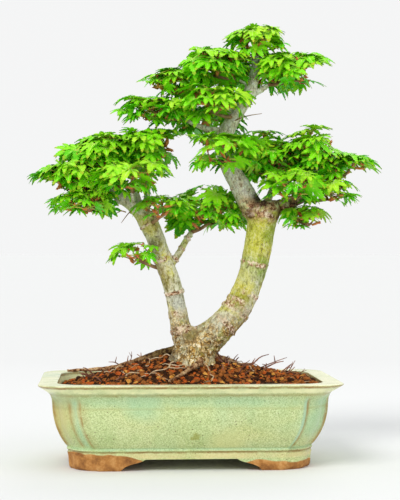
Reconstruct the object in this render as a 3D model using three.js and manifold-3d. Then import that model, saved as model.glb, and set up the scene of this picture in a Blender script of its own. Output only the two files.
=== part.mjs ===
// Potted Japanese maple, grown as a small twin-stemmed bonsai in a glazed rectangular pot on four feet.
// Units are millimetres. +Z is up, +X runs along the pot's front to the right, and +Y points to its back.
import * as THREE from "three";
import { mergeVertices } from "three/addons/utils/BufferGeometryUtils.js";
import Module from "manifold-3d";

const wasm = await Module();
wasm.setup();

// Clear space kept between pieces that touch
const GAP = 0.3;

// The pot: outside size at the rim, and the sizes that repeat round it
const POT = { halfLength: 123, halfDepth: 85, height: 70.5, corner: 24, notch: 4.5 };
const FLOOR = { top: 18, underside: 10, skirtInset: 38, lift: 0.4 };
const ARCH = { footGap: 57, topGap: 37, sideFootGap: 30, sideTopGap: 15 };
const DRAIN = { radius: 7.5, spread: 46, sides: 14 };

// Outside of the pot from its feet to its rim: height, inset from the rim, share of the corner notch
const OUTER_PROFILE = [
  [0, 26, 0.5],
  [2.5, 24.4, 0.5],
  [10.5, 23.7, 0.5],
  [13.6, 23, 0.5],
  [15.1, 23.7, 0.5],
  [16.6, 22.3, 0.5],
  [18.1, 22.9, 0.7],
  [20.5, 21, 1],
  [25, 18.2, 1],
  [30, 15.8, 1],
  [37, 13.3, 1],
  [46, 11.5, 1],
  [55, 10.9, 0.9],
  [59, 10.3, 0.5],
  [62.5, 8.6, 0.2],
  [66, 4.4, 0],
  [68.8, 0.6, 0],
  [69.8, 0, 0],
  [70.5, 1.2, 0],
];

// Inside of the pot from its floor to its mouth: height, inset from the rim
const CAVITY_PROFILE = [
  [FLOOR.top, 33],
  [24, 26],
  [40, 20],
  [60, 16.6],
  [POT.height, 16],
];

// The mound of soil: its height at the pot's wall, its rise, where its top is, its slope to the right,
// its roughness, and the parts that its outline is divided into along the pot and across it
const MOUND = {
  edge: 65.5,
  rise: 26,
  topX: -14,
  topY: 16,
  lean: 0.028,
  roughness: 1.6,
  lengthParts: 8,
  depthParts: 5,
};
const MOUND_RINGS = [0.86, 0.7, 0.53, 0.35, 0.17];

// Ground level, where the trunk and the surface roots have their flat cut
const GROUND = 82;

// The woody frame. Each row of a path is a point of the limb's centre line and its radius there.
const TRUNK = {
  sides: 14,
  steps: 18,
  path: [
    [3.5, 1, 68, 20],
    [7.5, 1, 92.5, 16.5],
    [26.5, -1, 111, 12.4],
    [41.5, 0, 128, 11.8],
    [52.5, 2, 151.5, 11.2],
    [59, 2, 176.5, 11.8],
    [62.5, 1, 199.5, 12.2],
    [64.5, 0, 211.5, 14.6],
    [64.5, 0, 219, 12],
  ],
};
const FLARE = { roots: 5, spread: 0.26, top: 107, turn: 0.6 };
const SCAR = { centre: [1.5, -10.5, 106.5], size: [7.5, 5, 8] };

// Limbs that grow from another limb, in the order in which they are made. Each is cut clear of those
// before it.
const LIMBS = [
  {
    name: "left_stem",
    sides: 12,
    steps: 12,
    path: [
      [1.5, 1, 86, 9.5],
      [-5, 0, 108.5, 8.8],
      [-8.5, -1, 126.5, 7.6],
      [-13.5, -3, 149.5, 7.8],
      [-21.5, -5, 170.5, 7.6],
      [-28, -5, 189.5, 7.7],
      [-34.5, -4, 202.5, 8.2],
      [-37.5, -4, 207.5, 6.6],
    ],
  },
  {
    name: "leader_lower",
    sides: 10,
    steps: 8,
    path: [
      [60.5, 0, 203.5, 9],
      [52.5, 0, 216.5, 9.6],
      [44.5, 0, 231.5, 8.6],
      [35.5, 1, 247.5, 7.4],
      [29.5, 2, 264.5, 6.8],
    ],
  },
  {
    name: "leader_upper",
    sides: 9,
    steps: 9,
    path: [
      [29.5, 2, 261.5, 5.6],
      [31.5, 3, 274.5, 6.7],
      [41.5, 3, 292.5, 5.8],
      [50.5, 1, 306.5, 5.3],
      [55.5, 1, 321.5, 4.7],
      [58, 2, 335.5, 3.6],
      [57.5, 2, 341.5, 3],
    ],
  },
  {
    name: "bough_left_main",
    sides: 8,
    steps: 6,
    path: [
      [-34.5, -4, 201.5, 6.6],
      [-43.5, -5, 213, 6.4],
      [-53.5, -4, 221, 5.9],
      [-64.5, -3, 227, 4.4],
      [-77.5, -3, 228.5, 3.2],
    ],
  },
  {
    name: "bough_right_main",
    sides: 8,
    steps: 6,
    path: [
      [66.5, 1, 210.5, 6],
      [80.5, 2, 214.5, 6],
      [91.5, 3, 219.5, 4.8],
      [97.5, 2, 230.5, 4],
      [99.5, 1, 241.5, 3],
    ],
  },
  {
    name: "bough_centre",
    sides: 7,
    steps: 4,
    path: [
      [-16.5, -3, 161.5, 3],
      [-7.5, 1, 174.5, 3],
      [-0.5, 5, 186.5, 2.7],
      [3.5, 7, 192.5, 2.3],
    ],
  },
];

// The surface roots, drawn in the same way
const ROOTS = [
  {
    name: "root_left",
    sides: 6,
    steps: 9,
    path: [
      [-5.5, 6, 93.5, 4.6],
      [-19.5, 10, 91, 3.6],
      [-40.5, 13, 84, 2.6],
      [-61.5, 14, 78, 2],
      [-79.5, 14, 76, 1.6],
      [-101.5, 12, 75.5, 1.1],
    ],
  },
  {
    name: "root_front",
    sides: 6,
    steps: 5,
    path: [
      [9.5, -12, 86, 3.4],
      [7.5, -21, 83.5, 2.4],
      [-3.5, -38, 78, 1.7],
      [-17.5, -58, 72, 1],
    ],
  },
  {
    name: "root_back",
    sides: 6,
    steps: 5,
    path: [
      [14.5, 8, 88.5, 4],
      [26.5, 20, 86, 2.8],
      [40.5, 32, 81, 1.9],
      [54.5, 42, 76, 1.1],
    ],
  },
];

// The masses of foliage. Each has the space that it keeps to (centre and half-sizes), the limb that it
// grows from and how far along it, the number of leaves, and the share of the space that its core fills.
// Those with a bough stand at the end of one, which leaves the limb there with the radii given.
const MASSES = [
  {
    name: "left_outer", limb: "bough_left_main", at: 1,
    centre: [-97, -4, 236], half: [31, 30, 21], leaves: 15, core: 0.45,
  },
  {
    name: "left_top", limb: "bough_left_main", at: 0.72, bough: [3.4, 2.4],
    centre: [-70, 2, 258], half: [36, 31, 25], leaves: 15, core: 0.45,
  },
  {
    name: "left_inner", limb: "left_stem", at: 0.97, bough: [3.6, 2.2],
    centre: [-32, 0, 261], half: [33, 30, 24], leaves: 14, core: 0.45,
  },
  {
    name: "left_low", limb: "bough_left_main", at: 0.45, bough: [2.8, 1.9],
    centre: [-86, -12, 216], half: [32, 24, 14], leaves: 11, core: 0.4,
  },
  {
    name: "left_front", limb: "bough_left_main", at: 0.3, bough: [3, 2],
    centre: [-48, -38, 235], half: [33, 23, 19], leaves: 12, core: 0.45,
  },
  {
    name: "left_back", limb: "left_stem", at: 0.9, bough: [3.4, 2.2],
    centre: [-52, 43, 256], half: [40, 28, 28], leaves: 12, core: 0.45,
  },
  {
    name: "left_tuft", limb: "left_stem", at: 0.93,
    centre: [-24, -25, 210], half: [25, 18, 15], leaves: 8,
  },
  {
    name: "low_left_spray", limb: "left_stem", at: 0.6,
    centre: [-43, -6, 175], half: [25, 19, 15], leaves: 9,
  },
  {
    name: "centre_pad", limb: "bough_centre", at: 1,
    centre: [19, 17, 209], half: [37, 28, 25], leaves: 14, core: 0.42,
  },
  {
    name: "leader_front", limb: "leader_lower", at: 0.78,
    centre: [25, -31, 258], half: [33, 24, 20], leaves: 12, core: 0.42,
  },
  {
    name: "right_inner", limb: "bough_right_main", at: 0.62, bough: [3.2, 2.2],
    centre: [73, 16, 254], half: [34, 30, 27], leaves: 14, core: 0.45,
  },
  {
    name: "right_top", limb: "bough_right_main", at: 1,
    centre: [107, 2, 259], half: [29, 31, 23], leaves: 14, core: 0.45,
  },
  {
    name: "right_tip", limb: "bough_right_main", at: 0.8, bough: [3, 2],
    centre: [133, -2, 246], half: [28, 26, 17], leaves: 11, core: 0.45,
  },
  {
    name: "right_low", limb: "bough_right_main", at: 0.42, bough: [2.8, 1.9],
    centre: [117, -8, 225], half: [27, 22, 14], leaves: 9, core: 0.4,
  },
  {
    name: "right_lowest", limb: "bough_right_main", at: 0.2, bough: [2.6, 1.8],
    centre: [101, -8, 203], half: [25, 20, 15], leaves: 8, core: 0.36,
  },
  {
    name: "right_front", limb: "bough_right_main", at: 0.5,
    centre: [86, -29, 229], half: [27, 22, 19], leaves: 9,
  },
  {
    name: "right_back", limb: "trunk", at: 0.97, bough: [3.8, 2.3],
    centre: [84, 46, 253], half: [42, 29, 28], leaves: 12, core: 0.45,
  },
  {
    name: "apex", limb: "leader_upper", at: 1,
    centre: [60, 1, 352], half: [27, 25, 19], leaves: 14, core: 0.36,
  },
  {
    name: "top_left", limb: "leader_upper", at: 0.72, bough: [2.8, 2],
    centre: [22, -6, 331], half: [31, 28, 21], leaves: 14, core: 0.45,
  },
  {
    name: "top_right", limb: "leader_upper", at: 0.6, bough: [2.8, 2],
    centre: [88, -2, 328], half: [33, 28, 21], leaves: 14, core: 0.45,
  },
  {
    name: "top_far_left", limb: "leader_upper", at: 0.42, bough: [2.7, 1.8],
    centre: [-16, 4, 317], half: [30, 25, 15], leaves: 11, core: 0.42,
  },
  {
    name: "upper_left_tip", limb: "leader_upper", at: 0.2, bough: [3, 1.9],
    centre: [-26, -4, 294], half: [33, 25, 15], leaves: 11, core: 0.4,
  },
  {
    name: "upper_front", limb: "leader_upper", at: 0.35,
    centre: [20, -24, 298], half: [30, 24, 20], leaves: 11, core: 0.42,
  },
  {
    name: "top_back", limb: "leader_upper", at: 0.65, bough: [2.8, 2],
    centre: [60, 34, 330], half: [36, 26, 28], leaves: 12, core: 0.45,
  },
  {
    name: "upper_back", limb: "leader_upper", at: 0.12, bough: [2.8, 1.9],
    centre: [18, 36, 287], half: [34, 24, 19], leaves: 10, core: 0.42,
  },
];

// How a mass grows: its bough enters the space at this share of the way out and its stem runs to a hub
// below the centre. Leaves are tried in turn from the outside of the space inwards, each on a twig.
const GROWTH = {
  entry: 0.8,
  hubDrop: 0.35,
  coreDrop: 0.1,
  outermost: 1.08,
  innermost: 0.15,
  lowest: -0.55,
  tries: 4000,
  stemPast: 1.6,
  coreDepth: 0.62,
  coreClear: 1.1,
  leaning: 0.5,
  stemRadius: 1.8,
  stemTip: 1.5,
  twigRadius: 1.2,
  forkRadius: 0.75,
  stalkRadius: 0.6,
  stalk: 2.5,
  shortest: 9,
  fork: 0.45,
  forksTried: 5,
  stemForks: [1, 0.75, 0.5],
  reach: 1.2,
  border: 0.03,
  sidewaysMost: 0.6,
  forwardLeast: 0.22,
  upwardMost: 0.85,
};

// A leaf: the length of its middle lobe and how much that varies, the angle and share of each lobe, the
// depth of the cuts between them, the droop of its tips, and how it hangs at a mass's top and foot
const LEAF = {
  length: 18,
  spread: 0.14,
  lobes: [
    [-106, 0.7],
    [-52, 0.92],
    [0, 1],
    [52, 0.92],
    [106, 0.7],
  ],
  cut: 0.54,
  droop: 0.18,
  lift: 0.06,
  hangAtTop: 0.3,
  hangAtFoot: 1.0,
};
const SEED = 2063;

// The colours and finishes
const MATERIALS = {
  glaze: new THREE.MeshStandardMaterial({ color: 0xb9c9a0, roughness: 0.25, metalness: 0 }),
  soil: new THREE.MeshStandardMaterial({ color: 0x6b3a20, roughness: 0.95, metalness: 0 }),
  bark: new THREE.MeshStandardMaterial({ color: 0xa9a274, roughness: 0.8, metalness: 0 }),
  root: new THREE.MeshStandardMaterial({ color: 0x7a5136, roughness: 0.85, metalness: 0 }),
  foliage: new THREE.MeshStandardMaterial({ color: 0x56a81c, roughness: 0.5, metalness: 0 }),
};

// A seeded random number from 0 to 1 (a 32-bit mixing generator)
function randomFrom(seed) {
  let state = seed >>> 0;
  return () => {
    state = (state + 0x6d2b79f5) >>> 0;
    let t = state;
    t = Math.imul(t ^ (t >>> 15), t | 1);
    t ^= t + Math.imul(t ^ (t >>> 7), t | 61);
    return ((t ^ (t >>> 14)) >>> 0) / 4294967296;
  };
}

// Turning three.js geometry into a solid that can be cut and joined, and back
function solidOf(geometry) {
  const bare = geometry.index ? geometry.toNonIndexed() : geometry.clone();
  bare.deleteAttribute("normal");
  bare.deleteAttribute("uv");
  const merged = mergeVertices(bare, 1e-4);
  return new wasm.Manifold(
    new wasm.Mesh({
      numProp: 3,
      vertProperties: new Float32Array(merged.attributes.position.array),
      triVerts: new Uint32Array(merged.index.array),
    }),
  );
}

function meshOf(name, solid, material) {
  const made = solid.getMesh();
  const geometry = new THREE.BufferGeometry();
  geometry.setAttribute("position", new THREE.BufferAttribute(made.vertProperties, 3));
  geometry.setIndex(new THREE.BufferAttribute(made.triVerts, 1));
  geometry.computeVertexNormals();
  const mesh = new THREE.Mesh(geometry, material);
  mesh.name = name;
  return mesh;
}

function join(solids) {
  return wasm.Manifold.union(solids);
}

// The largest of the separate bodies in a solid, which leaves out loose scraps and sealed hollows
function largest(solid) {
  return solid.decompose().reduce((best, body) => (body.volume() > best.volume() ? body : best));
}

// A closed body through rings of points, all with as many points, that run anticlockwise as seen from
// the last ring's side. Its ends close on their middle points.
function loft(rings) {
  const count = rings[0].length;
  const middle = (ring) =>
    ring.reduce((sum, p) => sum.add(p), new THREE.Vector3()).divideScalar(count);
  const points = [...rings.flat(), middle(rings[0]), middle(rings.at(-1))];
  const start = rings.length * count;
  const last = (rings.length - 1) * count;
  const faces = [];
  for (let i = 0; i < count; i++) {
    const next = (i + 1) % count;
    faces.push(start, next, i, start + 1, last + i, last + next);
    for (let ring = 0; ring < last; ring += count) {
      faces.push(ring + i, ring + next, ring + count + next);
      faces.push(ring + i, ring + count + next, ring + count + i);
    }
  }
  const geometry = new THREE.BufferGeometry().setFromPoints(points);
  geometry.setIndex(faces);
  return solidOf(geometry);
}

// The pot's outline in plan, a rectangle with round corners that are set back between the wall panels
const CORNER_DEGREES = [0, 5, 13, 28, 45, 62, 77, 85, 90];

function potOutline(inset, notchShare) {
  const length = POT.halfLength - inset - POT.corner;
  const depth = POT.halfDepth - inset - POT.corner;
  const corner = CORNER_DEGREES.map((degrees) => {
    const fromPanel = Math.min(degrees, 90 - degrees);
    const setBack = POT.notch * notchShare * THREE.MathUtils.smoothstep(fromPanel, 1, 13);
    const angle = THREE.MathUtils.degToRad(degrees);
    const radius = POT.corner - setBack;
    return new THREE.Vector2(length + radius * Math.cos(angle), depth + radius * Math.sin(angle));
  });
  const back = [...corner].reverse();
  return [
    ...corner,
    ...back.map((p) => new THREE.Vector2(-p.x, p.y)),
    ...corner.map((p) => new THREE.Vector2(-p.x, -p.y)),
    ...back.map((p) => new THREE.Vector2(p.x, -p.y)),
  ];
}

function ringAt(outline, z) {
  return outline.map((p) => new THREE.Vector3(p.x, p.y, z));
}

// The open arch between two feet, drawn from the front and run right through the pot
function arch(bottomHalf, topHalf) {
  const below = -1;
  const top = FLOOR.underside - FLOOR.lift;
  const shape = new THREE.Shape();
  shape.moveTo(-bottomHalf, below);
  shape.lineTo(bottomHalf, below);
  shape.lineTo(bottomHalf, 0);
  shape.bezierCurveTo(bottomHalf - 4, top * 0.7, topHalf + 4, top * 0.6, topHalf, top);
  shape.lineTo(-topHalf, top);
  shape.bezierCurveTo(-topHalf - 4, top * 0.6, -bottomHalf + 4, top * 0.7, -bottomHalf, 0);
  const length = 2.2 * POT.halfLength;
  const options = { depth: length, bevelEnabled: false, curveSegments: 4 };
  const geometry = new THREE.ExtrudeGeometry(shape, options);
  geometry.translate(0, 0, -length / 2);
  geometry.rotateX(Math.PI / 2);
  return geometry;
}

function lofted(profile) {
  return loft(profile.map(([z, inset, notch = 0]) => ringAt(potOutline(inset, notch), z)));
}

function makePot() {
  const outside = lofted(OUTER_PROFILE);
  const cavity = lofted([...CAVITY_PROFILE, [POT.height + 2, CAVITY_PROFILE.at(-1)[1]]]);
  const underside = lofted([-1, FLOOR.underside].map((z) => [z, FLOOR.skirtInset]));
  const frontArch = solidOf(arch(ARCH.footGap, ARCH.topGap));
  const sideArch = solidOf(arch(ARCH.sideFootGap, ARCH.sideTopGap).rotateZ(Math.PI / 2));
  const drains = [-DRAIN.spread, DRAIN.spread].map((x) => {
    const height = FLOOR.top - FLOOR.underside + 6;
    const hole = new THREE.CylinderGeometry(DRAIN.radius, DRAIN.radius, height, DRAIN.sides);
    hole.rotateX(Math.PI / 2);
    hole.translate(x, 0, (FLOOR.top + FLOOR.underside) / 2);
    return solidOf(hole);
  });
  const cuts = [cavity, underside, frontArch, sideArch, ...drains];
  return cuts.reduce((pot, cut) => pot.subtract(cut), outside);
}

// Height of the soil over a point of the pot, without its roughness
function soilHeight(x, y) {
  const across = (x - MOUND.topX) / (POT.halfLength - 16 + Math.sign(x - MOUND.topX) * -MOUND.topX);
  const along = (y - MOUND.topY) / (POT.halfDepth - 16 - Math.sign(y - MOUND.topY) * MOUND.topY);
  const fromTop = Math.min(1, Math.hypot(across, along));
  return MOUND.edge + MOUND.lean * x + MOUND.rise * (1 - fromTop);
}

// The soil's outline just inside the pot's wall, with more points along its sides than the pot has
function soilOutline(inset) {
  const kept = potOutline(inset + GAP, 0).filter((_, i) => (i % 9) % 2 === 0);
  const perCorner = kept.length / 4;
  return kept.flatMap((p, i) => {
    const next = kept[(i + 1) % kept.length];
    const sideParts = Math.floor(i / perCorner) % 2 === 0 ? MOUND.lengthParts : MOUND.depthParts;
    const parts = i % perCorner === perCorner - 1 ? sideParts : 1;
    return Array.from({ length: parts }, (_, k) => p.clone().lerp(next, k / parts));
  });
}

function makeSoil(cutters) {
  const random = randomFrom(SEED);
  const rows = CAVITY_PROFILE.slice(0, -1);
  const walls = rows.map(([z, inset], i) => ringAt(soilOutline(inset), i === 0 ? z + GAP : z));
  const top = [1, ...MOUND_RINGS].map((share) =>
    soilOutline(rows.at(-1)[1]).map(({ x, y }) => {
      const bump = (random() * 2 - 1) * (share < 1 ? MOUND.roughness : 0);
      return new THREE.Vector3(x * share, y * share, soilHeight(x * share, y * share) + bump);
    }),
  );
  const mound = loft([...walls, ...top]);
  return largest(cutters.reduce((soil, cut) => soil.subtract(cut), mound));
}

// The centre line of a limb and its radius along it
function lineOf(path) {
  const curve = (points) => new THREE.CatmullRomCurve3(points, false, "catmullrom");
  return {
    centre: curve(path.map(([x, y, z]) => new THREE.Vector3(x, y, z))),
    radius: curve(path.map((row) => new THREE.Vector3(row[3], 0, 0))),
  };
}

// A limb as a tapering body along its line, grown by some millimetres all over where it is used as a cutter
function limbSolid({ path, sides, steps, flare }, grow = 0) {
  const line = lineOf(path);
  const frames = line.centre.computeFrenetFrames(steps, false);
  const rings = [];
  for (let i = 0; i <= steps; i++) {
    const share = i / steps;
    const centre = line.centre.getPointAt(share);
    const end = i === 0 ? -grow : i === steps ? grow : 0;
    centre.addScaledVector(frames.tangents[i], end);
    const radius = line.radius.getPoint(line.centre.getUtoTmapping(share)).x;
    const ring = [];
    for (let side = 0; side < sides; side++) {
      const angle = (side / sides) * 2 * Math.PI;
      const wide = (flare ? radius * flare(centre.z, angle) : radius) + grow;
      const p = centre.clone();
      p.addScaledVector(frames.normals[i], wide * Math.cos(angle));
      p.addScaledVector(frames.binormals[i], wide * Math.sin(angle));
      ring.push(p);
    }
    rings.push(ring);
  }
  return loft(rings);
}

// The buttresses at the trunk's foot, as a factor on its radius
function rootFlare(z, angle) {
  const share = THREE.MathUtils.clamp((FLARE.top - z) / (FLARE.top - GROUND), 0, 1);
  return 1 + FLARE.spread * share * share * (0.4 + 0.6 * Math.cos(FLARE.roots * angle + FLARE.turn));
}

// Everything above ground level less a clearance, which gives the trunk its flat cut
function aboveGround(clearance) {
  const size = 400;
  const box = new THREE.BoxGeometry(size, size, size);
  box.translate(0, 0, GROUND - clearance + size / 2);
  return solidOf(box);
}

function trunkSolid(grow = 0) {
  const scar = new THREE.SphereGeometry(1, 10, 8);
  scar.scale(...SCAR.size.map((s) => s + grow));
  scar.translate(...SCAR.centre);
  const stem = limbSolid({ ...TRUNK, flare: rootFlare }, grow);
  return stem.add(solidOf(scar)).intersect(aboveGround(grow));
}

// How far out a point lies in an ellipsoid: 0 at its centre and 1 on its border
function outOf(centre, half, point) {
  const shares = ["x", "y", "z"].map((axis, i) => (point[axis] - centre[i]) / half[i]);
  return Math.hypot(...shares);
}

function shareOut(mass, point) {
  return outOf(mass.centre, mass.half, point);
}

function holds(mass, point) {
  const own = shareOut(mass, point);
  return (
    own <= GROWTH.reach &&
    MASSES.every((other) => other === mass || own + GROWTH.border < shareOut(other, point))
  );
}

// A three-sided tapering twig between two points
function twigSolid(from, to, fromRadius, toRadius) {
  const path = [
    [...from.toArray(), fromRadius],
    [...to.toArray(), toRadius],
  ];
  return limbSolid({ path, sides: 3, steps: 1 });
}

// The corners of a leaf's blade round its rim
function bladeRim({ heel, forward, up, side, length }) {
  const at = (degrees, share, height) => {
    const angle = THREE.MathUtils.degToRad(degrees);
    const p = heel.clone();
    p.addScaledVector(forward, Math.cos(angle) * share * length);
    p.addScaledVector(side, Math.sin(angle) * share * length);
    return p.addScaledVector(up, height * length);
  };
  return LEAF.lobes.flatMap(([degrees, share], i) => {
    const tip = at(degrees, share, -LEAF.droop * share * share);
    const next = LEAF.lobes[i + 1];
    if (!next) return [tip];
    return [tip, at((degrees + next[0]) / 2, LEAF.cut * Math.min(share, next[1]), LEAF.lift)];
  });
}

// A leaf on its twig as one closed body: a three-sided tapering twig whose edges run into the blade at
// its heel. The corners of its section are its left and right sides and its underside.
function sprigSolid(root, radius, leaf) {
  const { heel, side, up } = leaf;
  const down = up.clone().negate();
  const under = new THREE.Vector3().crossVectors(side, heel.clone().sub(root)).normalize();
  const ring = (centre, below, radius) => [
    centre.clone().addScaledVector(side, radius),
    centre.clone().addScaledVector(side, -radius),
    centre.clone().addScaledVector(below, 1.4 * radius),
  ];
  const rim = bladeRim(leaf);
  const points = [
    ...ring(root, under, radius),
    ...ring(heel, down, GROWTH.stalkRadius),
    ...rim,
  ];
  const faces = [2, 1, 0];
  for (let i = 0; i < 3; i++) {
    const next = (i + 1) % 3;
    faces.push(i, next, 3 + next, i, 3 + next, 3 + i);
  }
  const [left, right, below, first] = [3, 4, 5, 6];
  const last = points.length - 1;
  const middle = (first + last) / 2;
  for (let i = first; i < last; i++) {
    faces.push(i < middle ? right : left, i, i + 1, below, i + 1, i);
  }
  faces.push(left, right, middle, below, left, last, below, first, right);
  const geometry = new THREE.BufferGeometry().setFromPoints(points);
  geometry.setIndex(faces);
  return solidOf(geometry);
}

function boxesMeet(a, b) {
  return [0, 1, 2].every((i) => a.min[i] <= b.max[i] && b.min[i] <= a.max[i]);
}

// Whether a solid touches any of the limbs or stems that it has to stay clear of
function touches(solid, obstacles, self) {
  const box = solid.boundingBox();
  const near = obstacles.filter((other) => other.owner !== self && boxesMeet(box, other.box));
  return near.some((other) => !solid.intersect(other.solid).isEmpty());
}

// Where a mass's bough leaves its limb, where it enters the mass's space, and the hub of its twigs
function route(mass, lines) {
  const centre = new THREE.Vector3(...mass.centre);
  const from = lines[mass.limb].centre.getPointAt(mass.at);
  const hub = centre.clone();
  hub.z -= GROWTH.hubDrop * mass.half[2];
  const out = shareOut(mass, from);
  const entry = out > GROWTH.entry ? centre.clone().lerp(from, GROWTH.entry / out) : from.clone();
  return { from, entry, hub };
}

function boughOf(mass, lines) {
  const { from, entry } = route(mass, lines);
  const middle = from.clone().lerp(entry, 0.5);
  middle.z -= 0.08 * from.distanceTo(entry);
  const [thick, thin] = mass.bough;
  const path = [
    [...from.toArray(), thick],
    [...middle.toArray(), (thick + thin) / 2],
    [...entry.toArray(), thin],
  ];
  return { name: `bough_${mass.name}`, sides: 6, steps: 4, path };
}

// The stem of a mass: it starts just past its bough's tip, or inside the limb that it is cut clear of
function stemOf(mass, lines) {
  const { from, entry, hub } = route(mass, lines);
  const atTip = mass.bough || mass.at === 1;
  const start = mass.bough ? entry : from;
  const heading = hub.clone().sub(start).normalize();
  const first = start.clone().addScaledVector(heading, atTip ? GAP : 0);
  const end = hub.clone().addScaledVector(heading, GROWTH.stemPast);
  return { first, hub, solid: twigSolid(first, end, GROWTH.stemRadius, GROWTH.stemTip) };
}

// One place after another where a leaf may stand: round the mass by the golden angle, over and over from
// its top to its underside, and step by step further in
function* standsIn(mass, random) {
  const upright = new THREE.Vector3(0, 0, 1);
  const golden = Math.PI * (3 - Math.sqrt(5));
  const start = random() * 2 * Math.PI;
  for (let i = 0; i < GROWTH.tries; i++) {
    const share = THREE.MathUtils.lerp(GROWTH.outermost, GROWTH.innermost, i / GROWTH.tries);
    const height = THREE.MathUtils.lerp(0.97, GROWTH.lowest, (i * golden) % 1);
    const level = Math.sqrt(1 - height * height);
    const angle = start + i * golden + (random() - 0.5) * 0.5;
    const direction = [level * Math.cos(angle), level * Math.sin(angle), height];
    const heel = new THREE.Vector3(...direction.map((d, k) => mass.centre[k] + d * share * mass.half[k]));
    const length = LEAF.length * (1 + (random() - 0.5) * 2 * LEAF.spread);
    const low = (0.97 - height) / (0.97 - GROWTH.lowest);
    const hang = THREE.MathUtils.lerp(LEAF.hangAtTop, LEAF.hangAtFoot, low) + (random() - 0.5) * 0.3;
    const facing = angle + (random() - 0.5) * 0.9;
    const forward = new THREE.Vector3(Math.cos(facing), Math.sin(facing), -hang).normalize();
    const up = upright.clone().addScaledVector(forward, -forward.z).normalize();
    const side = new THREE.Vector3().crossVectors(up, forward);
    yield { heel, forward, up, side, length };
  }
}

function coreCentre({ centre, half }) {
  return [centre[0], centre[1], centre[2] - GROWTH.coreDrop * half[2]];
}

// The small core that the twigs of a dense mass stand out of, cut clear of whatever passes through it
function coreOf(mass, obstacles) {
  const core = new THREE.IcosahedronGeometry(1, 0);
  core.scale(...mass.half.map((half) => half * mass.core));
  core.translate(...coreCentre(mass));
  const solid = solidOf(core);
  const box = solid.boundingBox();
  const near = obstacles.filter((other) => other.owner !== mass.name && boxesMeet(box, other.box));
  return near.reduce((left, other) => left.subtract(other.solid), solid);
}

// How far out of a mass's core a point lies: 1 on its surface
function outOfCore(mass, point) {
  const half = mass.half.map((h) => h * mass.core);
  return outOf(coreCentre(mass), half, point);
}

// Where a leaf's twig may grow from: the core behind it or, where there is no core, the forks nearest to it
function rootsFor(leaf, mass, start, nodes) {
  if (mass.core) {
    const middle = new THREE.Vector3(...coreCentre(mass));
    const behind = leaf.heel.clone().addScaledVector(leaf.forward, -GROWTH.leaning * leaf.length);
    const inner = middle.lerp(behind, GROWTH.coreDepth / outOfCore(mass, behind));
    const outer = inner.clone();
    const step = leaf.heel.clone().sub(inner).divideScalar(20);
    for (let i = 0; i < 20 && outOfCore(mass, outer) < GROWTH.coreClear; i++) outer.add(step);
    return [{ of: start, inner, outer, radius: GROWTH.twigRadius }];
  }
  const away = ({ at }) => at.distanceTo(leaf.heel);
  const near = nodes.filter((node) => away(node) > GROWTH.shortest);
  near.sort((a, b) => away(a) - away(b));
  return near.slice(0, GROWTH.forksTried).map(({ at, of }) => {
    const along = leaf.heel.clone().sub(at).normalize();
    const outer = at.clone().addScaledVector(along, 2.5 * GROWTH.twigRadius);
    return { of, inner: at, outer, radius: of === start ? GROWTH.twigRadius : GROWTH.forkRadius };
  });
}

// Whether a twig from a root is long enough and meets the leaf's heel from behind or below
function joins(root, leaf) {
  const along = leaf.heel.clone().sub(root.inner).normalize();
  return (
    root.outer.distanceTo(leaf.heel) >= GROWTH.stalk &&
    Math.abs(along.dot(leaf.side)) <= GROWTH.sidewaysMost &&
    along.dot(leaf.forward) >= GROWTH.forwardLeast &&
    along.dot(leaf.up) <= GROWTH.upwardMost
  );
}

// Twigs that branch from the stem, the core and each other, with a leaf on each
function growMass(mass, index, obstacles) {
  const random = randomFrom(SEED + 97 * (index + 1));
  const { stem } = mass;
  const boxed = (solid) => ({ owner: "own", solid, box: solid.boundingBox() });
  const start = boxed(mass.core ? largest(stem.cut.add(coreOf(mass, obstacles))) : stem.cut);
  const grown = [start];
  const onStem = (share) => ({ at: stem.first.clone().lerp(stem.hub, share), of: start });
  const nodes = GROWTH.stemForks.map(onStem);
  const place = (root, leaf) => {
    if (!joins(root, leaf)) return false;
    if (touches(sprigSolid(root.outer, root.radius, leaf), [root.of])) return false;
    const solid = sprigSolid(root.inner, root.radius, leaf);
    const clearOf = grown.filter((piece) => piece !== root.of);
    if (touches(solid, clearOf) || touches(solid, obstacles, mass.name)) return false;
    grown.push(boxed(solid));
    nodes.push({ at: root.inner.clone().lerp(leaf.heel, GROWTH.fork), of: grown.at(-1) });
    return true;
  };
  for (const leaf of standsIn(mass, random)) {
    if (grown.length > mass.leaves) break;
    if (!bladeRim(leaf).every((p) => holds(mass, p))) continue;
    rootsFor(leaf, mass, start, nodes).some((root) => place(root, leaf));
  }
  return grown.map(({ solid }) => solid);
}

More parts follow.
